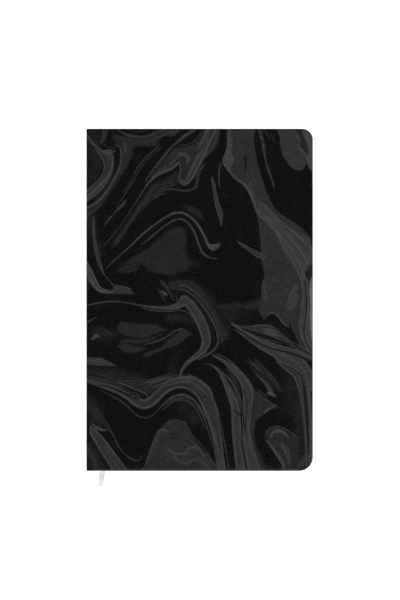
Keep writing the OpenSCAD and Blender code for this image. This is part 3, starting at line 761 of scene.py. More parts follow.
# %% Hairlines from the head toward the spine
HAIRLINES += [
    (46, [(44.6,10.3,0.3), (39.8,14.6,0.35), (35.2,19,0.35), (31.2,24.2,0.35), (28.5,30,0.35),
     (26.2,34,0.3), (22.9,38.8,0.2)]),
    (38, [(46,11.6,0.3), (40.7,16,0.4), (36.1,20.4,0.4), (32.1,25.6,0.45), (29,31.9,0.5), (25.4,37.8,0.5),
     (21.9,43,0.4), (18.3,47.8,0.3)]),
    (42, [(24.8,43.2,0.4), (21.9,46.7,0.6), (19.1,50.1,0.6), (16.4,52.2,0.3)]),
    (44, [(16,53.7,0.3), (13.9,55.9,0.35), (11.4,59.1,0.3)]),
    (34, [(34.2,14.6,0.2), (32.1,17.1,0.35), (30.2,19.6,0.3)]),
    (46, [(20,1.2,0.4), (23.5,3.3,0.5), (29.2,5.1,0.5), (35,5.1,0.5), (39.8,3.3,0.5), (44.2,0.8,0.5)]),
    (44, [(32.7,8.5,0.3), (38.8,7.7,0.45), (44.6,5.4,0.5), (51.9,2.2,0.6), (56.7,0.1,0.5)]),
    (42, [(23.7,9.8,0.3), (24.3,12.7,0.35), (24.1,15.6,0.2)]),
    (40, [(11,9.7,0.3), (13.1,11,0.35), (16.8,11.6,0.4), (19.3,10,0.3)]),
    (18, [(16.4,1.6,0.3), (15,6,0.45), (14.5,9.1,0.3)]),
    (18, [(4.3,10.8,0.3), (8.5,14.4,0.3), (11,18.5,0.35), (12,23.5,0.35), (9.7,29.2,0.3), (5.8,34,0.3)]),
    (56, [(9.1,14.3,0.4), (13.9,14.8,0.6), (16.2,16.6,0.6), (16.4,20.6,0.5), (14.9,25.6,0.5),
     (12,30.4,0.6), (8.1,34.8,0.9), (4.3,39,1.1), (-0.1,42.6,1.2)]),
    (53, [(35.6,37.1,0.3), (36.9,34.8,0.45), (40,31.5,0.45), (43.8,28.2,0.45), (48.6,26.1,0.4),
     (52.8,24.4,0.45), (56.1,21.3,0.5), (57.2,21.2,0.5), (57.6,25.2,0.4), (57,30.9,0.45), (58.8,34.2,0.6),
     (61.8,34,0.6), (64.7,30.9,0.45), (67,26.1,0.4), (69.9,19.6,0.4), (72.4,13.7,0.4)]),
    (46, [(35.4,37.1,0.4), (31.2,43.6,0.4), (26.4,51.3,0.35), (20.8,59.7,0.3), (15.8,66,0.3),
     (11,71.6,0.2)]),
    (45, [(51.9,21.3,0.3), (54.5,17.5,0.45), (58,14.4,0.5), (62,15.6,0.5), (63.6,18.7,0.4), (62,22.3,0.35),
     (60.9,26.3,0.3)]),
    (18, [(54.5,21,0.2), (56.7,18.1,0.35), (59.5,17.5,0.35), (60.7,19.8,0.35), (59.9,24.2,0.4),
     (59.5,30,0.3)]),
    (50, [(60.5,30.7,0.3), (63.4,27.5,0.4), (66.2,21.3,0.4), (69.7,15.2,0.45)]),
    (50, [(67.3,12.7,0.4), (72.1,5.4,0.45), (75.9,-0.7,0.4)]),
    (48, [(67.7,17.9,0.4), (72.6,12.3,0.4), (76.9,5.6,0.45), (79.3,-0.7,0.4)]),
    (45, [(68.6,21,0.3), (74,15.2,0.35), (78.4,8.9,0.35), (80.7,1.2,0.3)]),
    (20, [(66.7,16.6,0.3), (71.9,9.8,0.35), (76.5,3.1,0.3), (78,-0.7,0.2)]),
    (40, [(67.7,35.9,0.3), (68,30,0.5), (69.6,25.2,0.6), (72.1,21.9,0.4)]),
    (40, [(41.3,43,0.3), (44.2,40.9,0.5), (49,39.6,0.3)]),
    (38, [(44.4,39.6,0.3), (48.8,37.3,0.5), (54.5,37.3,0.6), (59.9,38,0.7), (65.1,37.1,0.8),
     (67.8,34.6,0.8), (68.7,29.6,0.6), (72,22.5,0.5)]),
    (18, [(36.1,38.6,0.3), (32.1,44.4,0.45), (27.3,52,0.45), (21.8,60.1,0.4), (16.8,67,0.3)]),
    (18, [(41.9,36.3,0.2), (46.5,33,0.5), (52.2,30,0.5), (56.1,28.8,0.4)]),
    (20, [(39.8,40.5,0.2), (44.2,36.7,0.4), (49.4,34.4,0.4), (55.7,35.2,0.3)]),
    (48, [(4.3,56.2,0.4), (4.7,61.6,0.5), (5.1,67.4,0.4), (5.7,72,0.3)]),
]

# %% Hairlines round the great pool and down the fore edge
HAIRLINES += [
    (52, [(87.2,4.1,0.3), (86.3,12.7,0.5), (84.1,19.2,0.6), (85.9,23.5,0.5), (88.6,26.3,0.4),
     (93,30.9,0.4), (97.8,36.1,0.4), (101,41.7,0.35), (103.5,48.2,0.3)]),
    (49, [(97.8,35.5,0.4), (100.8,34.8,0.6), (100.4,32.5,0.5), (103.1,31.5,0.6), (103.3,34,0.5),
     (102,35.9,0.4), (102.4,39.6,0.5), (104.1,44.9,0.5), (107.5,49.7,0.5), (106,51.6,0.4),
     (108.5,54.5,0.5), (110,52.2,0.5), (113.9,53.7,0.5), (118.1,56.4,0.3)]),
    (50, [(104.5,44.4,0.3), (108.5,47.2,0.4), (112.7,50.1,0.4), (117.1,53.9,0.4)]),
    (50, [(110.6,56,0.6), (114,56.4,0.5), (112.3,58.2,0.5), (115,61.6,0.4), (117.9,67,0.4),
     (119.6,71.8,0.4)]),
    (50, [(119.4,70.2,0.4), (121.9,76.9,0.4), (125.7,81.9,0.45), (129.4,87.6,0.45), (131.7,94.4,0.45),
     (132.8,101.3,0.4), (132.8,111.4,0.4), (131.9,119.1,0.3)]),
    (48, [(124.4,68.3,0.4), (129.8,73.8,0.4), (133.2,79,0.4), (134.4,82.7,0.3)]),
    (50, [(128.6,69.8,0.3), (133.4,75.8,0.4), (137.4,78.6,0.4)]),
    (53, [(134.4,91.9,0.4), (135.5,97,0.5), (136.7,106.6,0.5), (135.9,116.2,0.5), (134.8,124.8,0.5),
     (136.3,131.2,0.5), (139.4,136.5,0.4)]),
    (20, [(133.8,93.2,0.3), (134.8,100.9,0.4), (135.1,110.5,0.4), (134.4,118.1,0.4), (133.4,123.9,0.4),
     (134.8,130.6,0.4), (138.6,136.9,0.3)]),
    (26, [(137.6,84.4,0.4), (136.6,87.6,1), (136.9,90.6,1.2), (138.2,93,0.8)]),
    (50, [(108.7,95.9,0.4), (109.4,99,0.5), (110.4,103,0.4), (110,106.8,0.2)]),
    (46, [(107.9,97,0.3), (108.5,101.3,0.4), (109.3,103.9,0.2)]),
    (52, [(110,115.6,0.3), (113.3,113.3,0.5), (116.5,113.3,0.5), (119,117,0.45), (122.1,120.6,0.4)]),
    (50, [(128.6,96.1,0.3), (126.7,98.2,0.4), (124.8,101.8,0.4), (123.6,105.9,0.4), (122.9,109.5,0.3)]),
    (36, [(81.6,108.9,0.2), (85.5,113.3,0.3), (88.6,118.1,0.25), (90.7,120.2,0.2)]),
    (20, [(97.8,16.2,0.3), (98.1,20.4,0.8), (97.6,25.2,0.3)]),
    (52, [(106,1.2,0.3), (108.1,7,0.35), (109.4,14.6,0.35), (110.6,22.3,0.4), (112.9,30,0.4),
     (115.2,35.7,0.35)]),
    (44, [(107.3,0.4,0.3), (109.4,9.8,0.4), (110.2,15.6,0.3)]),
    (46, [(127.3,2.2,0.4), (129.8,5.2,0.6), (130.7,7.9,0.3)]),
]

# %% Hairlines below the great pool
HAIRLINES += [
    (19, [(96,123.1,0.2), (100.8,125,0.5), (107.5,127.7,0.8), (115.2,129.8,0.7), (121.9,131.2,0.5),
     (128.6,134.4,0.3)]),
    (19, [(93.2,123.9,0.2), (97.9,126.2,0.4), (104.7,130.4,0.5), (112.3,134.4,0.5), (121,136.5,0.5),
     (128.6,138.6,0.4), (138.2,142.3,0.3)]),
    (53, [(89.9,119.5,0.4), (92.4,121.6,0.5), (97.2,124.8,0.5), (103.7,128.7,0.45), (110,131.7,0.4),
     (116.2,133.8,0.3)]),
    (19, [(120.6,144.5,0.3), (126.7,147.4,0.4), (131.7,151.6,0.5), (134.2,157.4,0.4), (135.5,168.9,0.4),
     (136.5,182.3,0.3)]),
    (18, [(105.2,160.8,0.3), (107.5,163.3,0.45), (110.6,165.4,0.45), (113.9,167.9,0.4),
     (116.2,169.1,0.3)]),
    (52, [(106,160.4,0.2), (108.3,162.5,0.4), (110.6,164.1,0.3)]),
    (52, [(106.6,163.3,0.3), (109.4,165.8,0.3), (113.1,168.7,0.3), (115.6,169.5,0.4)]),
    (52, [(109.1,175,0.4), (110.8,172.9,0.6), (113.9,171.4,0.5), (115.2,170.8,0.2)]),
    (40, [(103.1,141.7,0.2), (107.5,146.3,0.35), (112.3,152.2,0.35), (116.2,157.4,0.35), (119,161.2,0.2)]),
    (46, [(110,188,0.3), (110.8,185.2,0.4), (113.5,183.3,0.45), (117.3,182.7,0.45), (121.3,183.8,0.4),
     (125.2,186.1,0.35), (128.8,189,0.3), (130.2,190.7,0.3)]),
    (26, [(123.8,162.2,0.4), (126.3,167,0.5), (126.9,171.8,0.5), (124.8,175.6,0.4)]),
    (19, [(95.3,167,0.3), (95.8,172.7,0.5), (96.4,179.4,0.5), (95.6,187.1,0.5), (95.3,192.8,0.45),
     (96.4,200.5,0.35), (97.9,208.2,0.3)]),
    (19, [(96.4,159.3,0.2), (98.1,166,0.35), (98.7,171.8,0.35), (97.8,179.4,0.35), (97.2,186.1,0.3)]),
    (19, [(90.9,172.7,0.3), (93,174.6,0.6), (94.7,176.2,0.4)]),
    (52, [(85.1,154.5,0.3), (88,162.2,0.4), (88.9,169.8,0.4), (89.5,179.4,0.35), (89.9,190,0.3)]),
    (53, [(90.3,147,0.3), (96.4,152.6,0.4), (100.6,158.1,0.4), (102.4,163.3,0.35), (101.6,169.8,0.3)]),
    (50, [(96,183.3,0.3), (97.4,190,0.5), (97.8,197.6,0.4), (99.5,205.3,0.3)]),
]

# %% Hairlines at the tail
HAIRLINES += [
    (55, [(20,155.6,0.5), (23.7,157.2,0.45), (28.3,159.1,0.4), (33.1,161,0.45), (36.7,162.9,0.5),
     (37.9,164.8,0.45), (36.1,166.6,0.4), (33.1,166.2,0.3)]),
    (50, [(27.3,161.6,0.3), (31.5,162.9,0.4), (32.3,164.1,0.4), (29.8,164.7,0.3)]),
    (19, [(7.2,157,0.3), (13.9,158.7,0.6), (20.6,161,0.8), (26.4,163.7,0.9), (30.2,165.4,0.8),
     (33.8,164.7,0.6), (35,163.3,0.4)]),
    (46, [(35,159.5,0.3), (40.7,156.4,0.4), (46.5,153.9,0.5), (52.2,152.6,0.4)]),
    (42, [(33.1,157.4,0.3), (37.9,155.5,0.4), (43.6,152.8,0.3)]),
    (46, [(43.6,161.2,0.3), (47.4,158.1,0.5), (52.2,155.1,0.5), (58,153.5,0.5), (64.7,154.5,0.4)]),
    (19, [(43,165.2,0.3), (48.4,159.9,0.35), (54.2,157.4,0.4), (60.9,157.6,0.4), (66.6,160.4,0.4),
     (71,166,0.35)]),
    (50, [(51.1,165.2,0.3), (56.1,163.3,0.4), (60.9,163.7,0.5), (65.7,166.2,0.5), (69.1,170.4,0.5),
     (72.2,175.8,0.4)]),
    (36, [(45.1,171.2,0.5), (49.4,167.7,1.3), (55.1,166.2,1.3), (60.9,166.4,1.2), (66.2,169.1,0.8),
     (69.9,173.9,0.4)]),
    (34, [(0.5,169.8,0.2), (6.2,175.6,0.4), (11,181.3,0.4), (15.4,187.1,0.35)]),
    (53, [(36.3,206.8,0.4), (38.2,200.5,0.5), (40.7,193.2,0.5), (43.2,187.7,0.5), (45.1,184.6,0.5),
     (49.6,185.6,0.5)]),
    (42, [(48.8,180.4,0.2), (52.4,178.7,0.35), (57,178.8,0.4), (61.1,180.2,0.3)]),
    (53, [(50.1,196.3,0.3), (52.4,198.2,0.5), (55.5,199.6,0.5), (60.9,198.8,0.4), (62.2,196.5,0.5),
     (66.2,195.7,0.6), (69.3,197.1,0.5), (72.2,199.7,0.4)]),
    (50, [(54.2,200.3,0.3), (56.1,202.6,0.5), (59.3,204.3,0.4), (61.8,206.5,0.4)]),
    (50, [(62.2,206.5,0.4), (63.4,204.3,0.5), (66,203.4,0.5), (69.9,204,0.5), (72.9,206.1,0.4)]),
    (48, [(64.7,191.9,0.3), (67.6,194.6,0.4), (71.4,197.8,0.3)]),
    (46, [(60.9,200.5,0.3), (65.7,200.1,0.4), (70.5,201.7,0.4)]),
    (26, [(51.9,186.9,0.5), (54.5,187.3,0.8), (56.5,187.1,0.3)]),
    (26, [(51.5,189.2,0.4), (54.2,189.6,0.6), (56.1,189.4,0.3)]),
    (48, [(67.3,195.3,0.4), (70.1,198.2,0.4), (73.4,203.4,0.4), (75.9,209.1,0.3)]),
    (45, [(67.3,199.6,0.3), (70,203,0.4), (72.1,209.1,0.3)]),
]

# %% Hairlines across the middle
HAIRLINES += [
    (53, [(56.1,110.5,0.4), (55.9,107,0.5), (58.6,103,0.6), (61.3,102.6,0.6), (64.7,105.9,0.5),
     (68.9,111.2,0.4)]),
    (18, [(53.8,105.5,0.3), (55.3,101.8,0.4), (56.5,99.5,0.5), (59.9,100.1,0.5), (64.7,103,0.5),
     (69.5,108.9,0.4)]),
    (50, [(10.6,88.8,0.3), (13.9,93,0.4), (17.2,96.8,0.5), (17.5,98.2,0.4), (15.8,99.1,0.4),
     (12,99.9,0.3)]),
    (55, [(1.1,84.6,0.5), (2.8,90.9,0.6), (4.7,95.7,0.6), (7.2,99.1,0.6), (11.4,100.7,0.4)]),
    (52, [(18.3,96.3,0.3), (22.5,97,0.4), (26.9,98.2,0.4), (27.3,99.9,0.3)]),
    (40, [(46.3,93.8,0.6), (48.4,95.5,0.5), (51.1,99,0.4), (53.6,102.8,0.35)]),
    (30, [(44.2,98.8,0.8), (46.5,101.8,1.6), (48,105.1,1.2), (48.6,106.6,0.4)]),
    (60, [(46.1,100.7,0.5), (47.4,101.1,0.6)]),
    (46, [(58,96.1,0.4), (61.8,97,0.45), (66,100.5,0.45), (69.7,104.3,0.45), (72.2,108,0.4)]),
    (18, [(16.8,87.1,0.3), (23.3,84,0.4), (30.8,82.3,0.4), (36.5,82.7,0.3)]),
    (18, [(17.3,89,0.2), (23.5,87.1,0.35), (30.2,84.8,0.3)]),
    (22, [(57.8,86.5,0.6), (59.3,85.3,0.8), (59.9,84.2,0.3)]),
    (38, [(32.1,130.6,0.2), (37.1,129.6,0.35), (42.3,127.9,0.35), (46.9,125.8,0.25)]),
    (20, [(52.2,128.9,0.3), (55.1,126.2,0.4), (56.7,124.8,0.3)]),
    (34, [(19.8,130.6,0.3), (25.4,130,0.5), (30.8,131,0.3)]),
    (30, [(8.1,122,0.6), (12,123.9,1.4), (15.8,126.4,0.8)]),
]

# %% Painted highlights along the fore and tail edges, and light lines at the rims of pools
HAIRLINES += [
    # Painted highlights: light lines down the fore edge and along the tail edge, where the sheet's rounded
    # edge catches the light
    (98, [(138.3,91.5,0.5), (137.9,97,1.1), (138,105,1.1), (138.3,118,0.9), (138.7,130,0.5)]),
    (66, [(138.9,130,0.5), (138.9,160,0.6), (138.8,190,0.6), (138.4,203,0.5)]),
    (70, [(138.9,4,0.5), (138.9,20,0.6), (138.9,36,0.5)]),
    (60, [(4,209.5,0.4), (60,209.6,0.5), (132,209.5,0.5)]),
    # Lines of the print: streaks, and the rims of pools
    (66, [(134.5,3,0.3), (136.5,8,0.5), (138,13,0.4)]),
    (20, [(118,136,0.3), (124,137.2,0.4), (130,139,0.5), (136,142.5,0.4)]),
    (56, [(118.8,68.3,0.3), (126,80,0.5), (132.3,94.1,0.6), (133.2,102.7,0.6), (131.1,122.3,0.5),
     (137.8,140.1,0.3)]),
    (60, [(135.3,92,0.3), (136.2,107.6,0.5), (134.9,127.2,0.6), (138.5,134.6,0.4)]),
    (58, [(84.6,21.5,0.5), (91,30,0.8), (98.9,35.9,0.9), (102.5,44,0.8), (105.6,52,0.8), (111.4,57.8,0.7),
     (117,64.5,0.5), (121,71.2,0.3)]),
]

# %% Fine lines laid last, between the others
HAIRLINES += [
    (40, [(0.5,148.7,0.3), (10.1,151.1,0.35), (19.6,154,0.35), (27.3,155,0.4), (36.9,154,0.4),
     (44.6,152.6,0.35), (52.2,150.2,0.3)]),
    (44, [(27.3,156.4,0.2), (35,155.6,0.3), (41.7,154.1,0.35), (48.4,152.4,0.35), (55.1,151.1,0.2)]),
    (56, [(36.9,155.9,0.2), (41.7,155.3,0.35), (46.5,154,0.4), (52.2,152.8,0.2)]),
    (58, [(40.7,158.8,0.2), (46.5,156.4,0.4), (52.2,154.1,0.4), (59.9,152.8,0.4), (67.6,154.3,0.4),
     (74.3,158.8,0.3)]),
    (57, [(49.4,157.9,0.2), (56.1,155.5,0.35), (62.8,155.1,0.35), (68.5,157.9,0.35), (74.3,164.1,0.2)]),
    (44, [(1,151.6,0.2), (10.1,154,0.3), (18.7,156.9,0.3), (26.4,160.7,0.2)]),
    (42, [(52.2,166,0.2), (58,164.7,0.3), (63.7,165.5,0.3), (69.5,169.8,0.2)]),
    (62, [(104,48,0.2), (108.5,52.5,0.4), (115.2,58,0.4), (121,63.4,0.4), (128.6,71.5,0.4), (134.4,79,0.4),
     (136.5,86,0.3)]),
    (61, [(106,44,0.2), (111,49.5,0.3), (117,55,0.4), (124.8,61.5,0.4), (132,68,0.4), (138.5,74,0.3)]),
    (40, [(112,50,0.2), (118,56.5,0.3), (126,64,0.35), (133,71.5,0.3), (137.5,78,0.3)]),
    (62, [(109,53.5,0.2), (115,60.5,0.3), (121.9,69,0.35), (127.5,77,0.4), (131.5,84.5,0.4),
     (133.5,92,0.3)]),
    (41, [(108,50.5,0.2), (114,56,0.3), (120,62.3,0.3), (127.5,71.5,0.3), (133,80,0.3), (134.9,87,0.2)]),
    (50, [(109.4,1.2,0.2), (111.4,4.1,0.3), (112.8,7,0.2)]),
    (44, [(113.3,3.1,0.2), (115.2,7.9,0.3)]),
    (56, [(86,1.2,0.2), (86.9,6.5,0.4), (87.9,9.8,0.2)]),
    (54, [(91.2,2.2,0.2), (89.3,5.5,0.3), (87.9,8,0.2)]),
    (64, [(128.6,1.2,0.2), (131,7,0.3)]),
    (44, [(73,144,0.2), (80.7,146.8,0.3), (86.4,155.5,0.3)]),
    (22, [(35.6,34,0.2), (41.6,25.8,0.4), (45.1,22.3,0.4), (47.7,19.1,0.35), (49.9,16.1,0.35),
     (53,13,0.35), (56.1,11.1,0.35), (60.7,10.1,0.35), (65.7,8.6,0.3), (68.9,5.3,0.2)]),
    (46, [(57.4,10.2,0.2), (61.5,9.6,0.3), (65.1,8.3,0.3), (67.7,6.4,0.3), (69.7,3.7,0.3),
     (72.2,0.6,0.2)]),
    (52, [(39.8,30,0.2), (45.5,25.2,0.35), (52.2,21.8,0.35), (56.1,18,0.3), (59,16.6,0.35), (61.3,18,0.3),
     (61.3,23.3,0.2)]),
    (54, [(60.9,30,0.2), (64.7,26.1,0.35), (68.5,18.5,0.35), (72.2,10.8,0.35), (75.2,4.1,0.3)]),
    (36, [(62.6,30.5,0.2), (66.1,25.7,0.3), (70,17.5,0.3), (73.8,9.4,0.3)]),
    (56, [(65.7,29,0.2), (69.5,21.3,0.35), (73.3,13.7,0.35), (76.2,7,0.3)]),
    (32, [(43.6,26.1,0.2), (49.4,21.8,0.3), (54.2,17.5,0.3), (57,13.7,0.3), (61.8,12.7,0.3),
     (65.7,9.8,0.2)]),
    (40, [(22.5,64.5,0.2), (30.2,52,0.3), (36.9,42.4,0.35), (41.7,36.7,0.3), (48.4,33.8,0.2)]),
    (24, [(20.6,63.5,0.2), (28.3,52,0.3), (35.5,41.5,0.3), (40.7,35.2,0.25)]),
    (38, [(40.7,41.5,0.2), (44.6,37.6,0.3), (50.3,35.2,0.3), (55.1,34.3,0.2)]),
    (40, [(41.7,43.4,0.2), (45.5,40.5,0.3), (49.4,39.6,0.2)]),
    (50, [(23.7,9.4,0.3), (23.9,12.7,0.4), (23.7,15.1,0.2)]),
    (60, [(129.8,11.6,0.2), (132.1,12.9,0.4), (134.4,15.6,0.4), (134.9,17.5,0.2)]),
    (22, [(131.7,8.9,0.2), (132.2,10,0.6), (132.5,11,0.3)]),
    (37, [(127.1,4.1,0.2), (129,8.9,0.35), (130.3,11.2,0.2)]),
    (38, [(130.5,15.6,0.2), (131.5,16.7,0.4), (132.5,17.9,0.2)]),
    (30, [(135.1,92.2,0.2), (135.9,97,0.4), (136.7,101.8,0.4), (137.2,109.5,0.2)]),
    (18, [(97,123.6,0.3), (104,125.6,0.5), (112,128.6,0.5), (120,131,0.4)]),
    (18, [(98,127.6,0.3), (106,132,0.5), (114,135,0.5), (124,137.6,0.4), (133,141,0.4)]),
    (18, [(56.6,106,0.3), (58.4,100.6,0.5), (62,101.6,0.5), (68,107.6,0.5), (73.4,115,0.5), (77,123.6,0.5),
     (78.4,130,0.4)]),
    (18, [(136,58,0.4), (139,66,1.2), (139,74,0.8)]),
    (26, [(135.6,83,0.4), (137.6,87,1.5), (138.2,92,0.8)]),
    (18, [(96.6,17,0.3), (97.6,22,0.8), (97,27,0.3)]),
    (29, [(131,3,0.8), (134,9,1.5), (136,15,0.5)]),
    (18, [(104,178,0.3), (103,190,0.4), (107,202,0.6), (113,213,0.8)]),
    (18, [(61.6,22,0.2), (61.6,28,0.5), (60.4,31,0.3)]),
    (18, [(22,-1,1), (30,0,3), (38,-1,2)]),
    (18, [(16.2,-1,1), (16,5,0.8), (15,9,0.2)]),
    (18, [(112,119,1), (117,120.6,2.2), (122,125,2.2), (127,130.6,1), (131,135.6,0.3)]),
]
print(len(SHADES), "shades,", len(POOLS), "pools,", len(TONGUES), "tongues,", len(HAIRLINES), "hairlines")

# %% [markdown]
# One sheet covers both boards, so the print runs on round the spine. The back cover carries the same
# strokes at the same places as the front cover, and the back half of the spine carries them turned
# half round about the spine's middle, as a printer repeats a block. Each vertex of the sheets gets its
# place on the flat sheet, also round the edges, before anything is painted.

# %% From a vertex to its place on the flat sheet
# Keeps a division off nought
TINY = 1e-9
SHEET_SPINE_X = (SPINE_R - ARC) / MM
SHEET_MIDDLE_X = SHEET_SPINE_X - FLAT / MM / 2


def place_on_cover(points, face_z, down):
    """Place on the flat sheet in mm of each point of a cover's sheet."""
    depth = down * (points[:, 2] - face_z)
    near_x = np.minimum(points[:, 0], FACE_RIGHT)
    near = np.stack([near_x, np.clip(points[:, 1], -FACE_HALF, FACE_HALF)], 1)
    for x, y, radius in CORNERS:
        rel = points[:, :2] - (x, y)
        far = np.linalg.norm(rel, axis=1)
        turned = (rel[:, 0] > 0) & (rel[:, 1] * math.copysign(1, y) > 0) & (far > radius)
        near[turned] = (x, y) + rel[turned] / far[turned][:, None] * radius
    away = points[:, :2] - near
    out = np.linalg.norm(away, axis=1)
    direction = away / np.maximum(out, TINY)[:, None]
    first = EDGE_R * np.arctan2(out, np.maximum(EDGE_R - depth, TINY))
    run = first + np.maximum(depth - EDGE_R, 0)
    flat = near + direction * run[:, None]
    return np.stack([(flat[:, 0] - SPINE_X) / MM, (HEIGHT / 2 - flat[:, 1]) / MM], 1)


def place_on_spine(points):
    run = run_of(points) / MM
    return np.stack([SPINE_R / MM - run, (HEIGHT / 2 - points[:, 1]) / MM], 1)


def turned_half(place):
    """The same place seen from the back cover's print."""
    return np.stack([2 * SHEET_MIDDLE_X - place[:, 0], HEIGHT / MM - place[:, 1]], 1)

# %% [markdown]
# Paint is evaluated on the vertices, but an edge of a hairline falls between them. So no colour is
# stored: each vertex keeps its distance to the stroke's middle line, with a sign for its side, and
# the half width there. Those change evenly from vertex to vertex, and the shader compares them at
# every sample, which keeps a line of half a millimetre sharp. In a pool it keeps the depth inside
# the outline. Strokes that come close to each other go to different layers as far as there are
# layers, so that the distances of one don't mix with those of another.

# %% Distance to a stroke
FAR = 1e3
THINNEST = 0.08


def measure(place, stroke):
    """Depth inside a stroke, signed distance to its middle, half width and run, at each place."""
    count = len(place)
    depth = np.full(count, -FAR)
    away, width, run = np.zeros(count), np.zeros(count), np.zeros(count)
    total = 0.0
    for a, b in zip(stroke[:-1], stroke[1:]):
        step = b[:2] - a[:2]
        length = np.hypot(*step)
        rel = place - a[:2]
        t = np.clip(rel @ step / length**2, 0, 1)
        off = rel - t[:, None] * step
        distance = np.hypot(off[:, 0], off[:, 1])
        here = a[2] + (b[2] - a[2]) * t
        closer = here - distance > depth
        side = np.where(step[0] * rel[:, 1] > step[1] * rel[:, 0], 1.0, -1.0)
        depth = np.where(closer, here - distance, depth)
        away = np.where(closer, side * distance, away)
        width = np.where(closer, here, width)
        run = np.where(closer, total + t * length, run)
        total += length
    return depth, away, width, run


def within(place, points, margin):
    """The places in an upright box round the points, with a margin."""
    low, high = points.min(0) - margin, points.max(0) + margin
    return np.flatnonzero(((place > low) & (place < high)).all(1))


def reached(place, stroke, margin):
    return within(place, stroke[:, :2], stroke[:, 2].max() + margin)


def smooth_stroke(points, step=1.2):
    line = curve_through(points, step)
    line[:, 2] = np.maximum(line[:, 2], THINNEST)
    return line

# %% Distance to the outline of a pool
def smooth_outline(points, step=1.5):
    ring = curve_through([points[-1], *points, *points[:2]], step)
    start = int(np.argmin(np.linalg.norm(ring - points[0], axis=1)))
    stop = len(ring) - 1 - int(np.argmin(np.linalg.norm(ring[::-1] - points[0], axis=1)))
    return ring[start:stop]


def pool_depth(place, ring):
    """Depth inside a closed outline, negative outside."""
    nearest = np.full(len(place), FAR)
    inside = np.zeros(len(place), bool)
    for a, b in zip(ring, np.roll(ring, -1, axis=0)):
        step = b - a
        rel = place - a
        t = np.clip(rel @ step / max(step @ step, TINY), 0, 1)
        nearest = np.minimum(nearest, np.linalg.norm(rel - t[:, None] * step, axis=1))
        crosses = (a[1] > place[:, 1]) != (b[1] > place[:, 1])
        lean = rel[:, 1] * step[0] / (step[1] or TINY)
        inside ^= crosses & (rel[:, 0] < lean)
    return np.where(inside, nearest, -nearest)

# %% Pools and strokes sorted into layers
# Millimetres that strokes of one layer keep between them where there are layers enough
ROOM = 2.6


def pools_in_layers(pools, count):
    """Deal pools out to layers, each one over every earlier pool that it comes near."""
    layers = [[] for _ in range(count)]
    for tone, soft, points in pools:
        ring = smooth_outline(points)
        under = [k for k, layer in enumerate(layers) for _, _, other in layer
                 if max(pool_depth(ring, other).max(), pool_depth(other, ring).max()) > -ROOM]
        layers[min(max(under, default=-1) + 1, count - 1)].append((tone, soft, ring))
    return layers


def in_layers(strokes, count):
    """Deal strokes out to layers, each to the first where it keeps clear of the others."""
    layers = [[] for _ in range(count)]
    for tone, points in strokes:
        line = smooth_stroke(points)
        clear = []
        for layer in layers:
            gaps = [ROOM * 2]
            for _, other in layer:
                apart = np.linalg.norm(line[:, None, :2] - other[None, :, :2], axis=2)
                gaps.append((apart - line[:, None, 2] - other[None, :, 2]).min())
            clear.append(min(gaps))
        free = [k for k, gap in enumerate(clear) if gap > ROOM]
        layers[free[0] if free else int(np.argmax(clear))].append((tone, line))
    return layers

# %% Strokes that leave the cover
PAST_EDGE_X = -2
LONGEST_TAIL = 9
TIP_W = 0.06


def over_the_spine(strokes):
    """Strokes that leave the cover at the spine run on over it and thin out before its middle."""
    longer = []
    for k, (tone, points) in enumerate(strokes):
        points = list(points)
        # Tips end at five distances from the spine's middle, and bend one of three ways
        tip_x = SHEET_MIDDLE_X + 0.5 + 2 * k % 5 * 0.4
        bend = (k % 3 - 1) * 1.5
        for _ in range(2):
            points.reverse()
            x, y, width = points[-1]
            step_x, step_y = x - points[-2][0], y - points[-2][1]
            if x < PAST_EDGE_X:
                to_tip = (tip_x - x) / min(step_x, -0.5)
                run = max(min(to_tip, LONGEST_TAIL / math.hypot(step_x, step_y)), 0.3)
                dx, dy = step_x * run, step_y * run
                points[-1] = (x, y, width * 0.75)
                points += [(x + dx / 2, y + dy / 2 + bend / 3, width * 0.4), (x + dx, y + dy + bend, TIP_W)]
        longer.append((tone, points))
    return longer


POOL_LAYERS = pools_in_layers(POOLS, 3)
TONGUE_LAYERS = in_layers(over_the_spine(TONGUES), 3)
HAIRLINE_LAYERS = in_layers(over_the_spine(HAIRLINES), 7)
print("pools in each layer", [len(layer) for layer in POOL_LAYERS])
print("strokes in each layer", [len(layer) for layer in TONGUE_LAYERS + HAIRLINE_LAYERS])

# %% Painting a layer on a sheet
# Millimetres round a stroke or pool in which its distances are stored
MARGIN = 4
# Depth and half width, distance and tone of a vertex that no stroke comes near
NO_DEPTH = -60.0
NO_DISTANCE = 9.0
NO_TONE = 40.0
# Past this distance from a stroke its stored half width falls off quickly
REACH = 1.0
FALL = 8
# Each stroke's run starts elsewhere, so that no two have the same streaks
NEXT_RUN = 37


def paint_strokes(place, layer):
    """Signed distance, half width, tone and run of the nearest stroke of a layer."""
    count = len(place)
    depth, width = np.full(count, NO_DEPTH), np.full(count, NO_DEPTH)
    away, tone, run = np.full(count, NO_DISTANCE), np.full(count, NO_TONE), np.zeros(count)
    for k, (ink, line) in enumerate(layer):
        near = reached(place, line, MARGIN)
        if len(near) == 0:
            continue
        found = measure(place[near], line)
        better = found[0] > depth[near]
        at = near[better]
        depth[at], away[at], half_width, run[at] = (numbers[better] for numbers in found)
        run[at] += NEXT_RUN * k
        tone[at] = ink
        width[at] = half_width - FALL * np.maximum(0, -REACH - depth[at])
    return away, width, tone, run

# %% Painting the ground and the pools
BLACK_GROUND = 17.0
DEEPEST = 20.0


def paint_shades(place):
    tone = np.full(len(place), BLACK_GROUND)
    for ink, soft, points in SHADES:
        line = smooth_stroke(points, step=2.0)
        near = reached(place, line, soft)
        if len(near) == 0:
            continue
        t = np.clip((measure(place[near], line)[0] + soft) / (2 * soft), 0, 1)
        shade = BLACK_GROUND + (ink - BLACK_GROUND) * t * t * (3 - 2 * t)
        tone[near] = np.maximum(tone[near], shade)
    return tone


